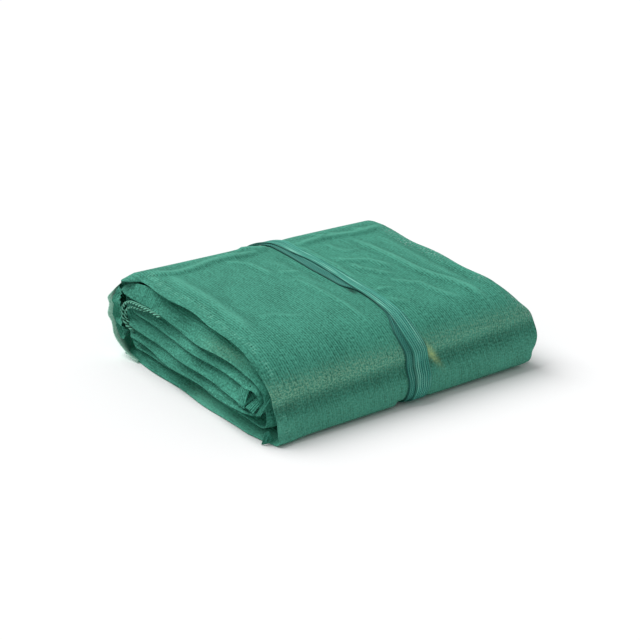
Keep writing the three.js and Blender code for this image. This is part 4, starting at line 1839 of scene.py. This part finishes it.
# The flaps' negative wear_and_shading paints shade on the recessed corner and leaves; smooth also smooths
# their knit and darkens it a little as painted shade.
FLAPS = (
    Flap("inner_corner",
         ((-291, 257, 140), (-290, 236, 150), (-287, 205, 157), (-280, 170, 158), (-270, 135, 155),
          (-258, 100, 151)),
         ((-303, 254, 134), (-305, 228, 131), (-304, 198, 129), (-301, 165, 127.5), (-296, 130, 126.5),
          (-288, 96, 126)),
         bulge=3.0, thickness=2.0, wear_and_shading=-0.2, smooth=0.8, columns=70),
    Flap("front_patch", ((-294, -178, 93), (-294, -204, 93)), ((-307, -179, 56), (-307, -203, 52)),
         bulge=1.5, wear_and_shading=-0.6),
    Flap("front_leaf", ((-268, -214, 84), (-266, -234, 93)), ((-306, -206, 55), (-305, -229, 51)),
         bulge=3.0, thickness=1.4, ripples=0.9, wear_and_shading=-0.5),
    Flap("front_leaf_high", ((-270, -236, 90), (-270, -243, 86)), ((-305, -236, 50), (-303, -248, 54)),
         bulge=1.5, thickness=1.4, ripples=0.6, wear_and_shading=-0.5),
    Flap("corner_fold", ((-297, -252, 23), (-290, -254, 25)), ((-304, -251, 1.4), (-279, -257, 1.4)),
         bulge=0.3, thickness=1.6, wear_and_shading=-0.3, smooth=1.0),
)


@dataclass
class Studio:
    """A white floor, soft light from above, and the camera."""

    azimuth: float = -35.29
    elevation: float = 21.48
    lens: float = 78.75
    distance: float = 2.7437
    target: tuple[float, float, float] = (-0.0114, -0.0113, 0.0825)
    shift: tuple[float, float] = (-0.00167, 0.00064)
    floor_size: float = 60.0
    sky: float = 0.37
    sun_strength: float = 2.8
    sun_direction: tuple[float, float, float] = (-0.27, 0.70, 1.0)
    sun_softness: float = 46.0

    def build(self) -> None:
        """Makes the floor, the lights and the camera."""
        self.camera()
        self.floor()
        self.lights()
        bpy.context.scene.view_settings.view_transform = "Standard"

    def camera(self) -> None:
        """Places the camera at the photograph's angle."""
        azimuth, elevation = math.radians(self.azimuth), math.radians(self.elevation)
        back = Vector((math.sin(azimuth) * math.cos(elevation), -math.cos(azimuth) * math.cos(elevation),
                       math.sin(elevation)))
        data = bpy.data.cameras.new("camera")
        data.lens = self.lens
        data.sensor_width = 36.0
        data.shift_x, data.shift_y = self.shift
        data.clip_end = 200.0
        camera = bpy.data.objects.new("camera", data)
        camera.rotation_mode = "QUATERNION"
        camera.location = Vector(self.target) + back * self.distance
        camera.rotation_quaternion = (-back).to_track_quat("-Z", "Y")
        bpy.context.scene.collection.objects.link(camera)
        bpy.context.scene.camera = camera

    def floor(self) -> None:
        """Lays the floor."""
        bpy.ops.object.select_all(action="DESELECT")
        bpy.ops.mesh.primitive_plane_add(size=self.floor_size, location=(0, 0, 0))
        floor = bpy.context.active_object
        floor.name = "studio_floor"
        floor.data.materials.append(FloorFinish().build())
        floor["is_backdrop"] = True

    def lights(self) -> None:
        """Sets the sky and one broad soft light."""
        world = bpy.data.worlds.new("studio")
        world.use_nodes = True
        background = world.node_tree.nodes["Background"]
        background.inputs["Color"].default_value = (1.0, 1.0, 1.0, 1.0)
        background.inputs["Strength"].default_value = self.sky
        bpy.context.scene.world = world
        data = bpy.data.lights.new("softbox", "SUN")
        data.energy = self.sun_strength
        data.angle = math.radians(self.sun_softness)
        light = bpy.data.objects.new("softbox", data)
        light.rotation_mode = "QUATERNION"
        light.rotation_quaternion = Vector(self.sun_direction).normalized().to_track_quat("Z", "Y")
        bpy.context.scene.collection.objects.link(light)


def write_sizes() -> None:
    """Measures the CAD's box and the visual model's box.
    """
    boxes = {"cad": cad_box, "visual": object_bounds()}
    {name: [list(low), list(high)] for name, (low, high) in boxes.items()}


def report(piece: Piece) -> None:
    """Logs a finished piece."""
    log.info("%s: %d faces", piece.name, len(piece.data.polygons))


def main() -> None:
    """Builds the studio, the net, its loose plies and edgings, and its band."""
    Studio().build()
    log.info("studio set")
    bundle, relief = Bundle(), Relief()
    net = NetFinish().build()
    for piece in FoldedNet(bundle, relief).build(net):
        report(piece)
    for piece in BackEnd(bundle).build(SheerFinish().build(), net):
        report(piece)
    thread = EdgingFinish().build()
    for edging in EDGINGS:
        report(edging.build(thread))
    for flap in FLAPS:
        report(flap.build(net))
    report(TieBand(bundle, relief).build(BandFinish().build()))
    write_sizes()


if __name__ == "__main__":
    main()
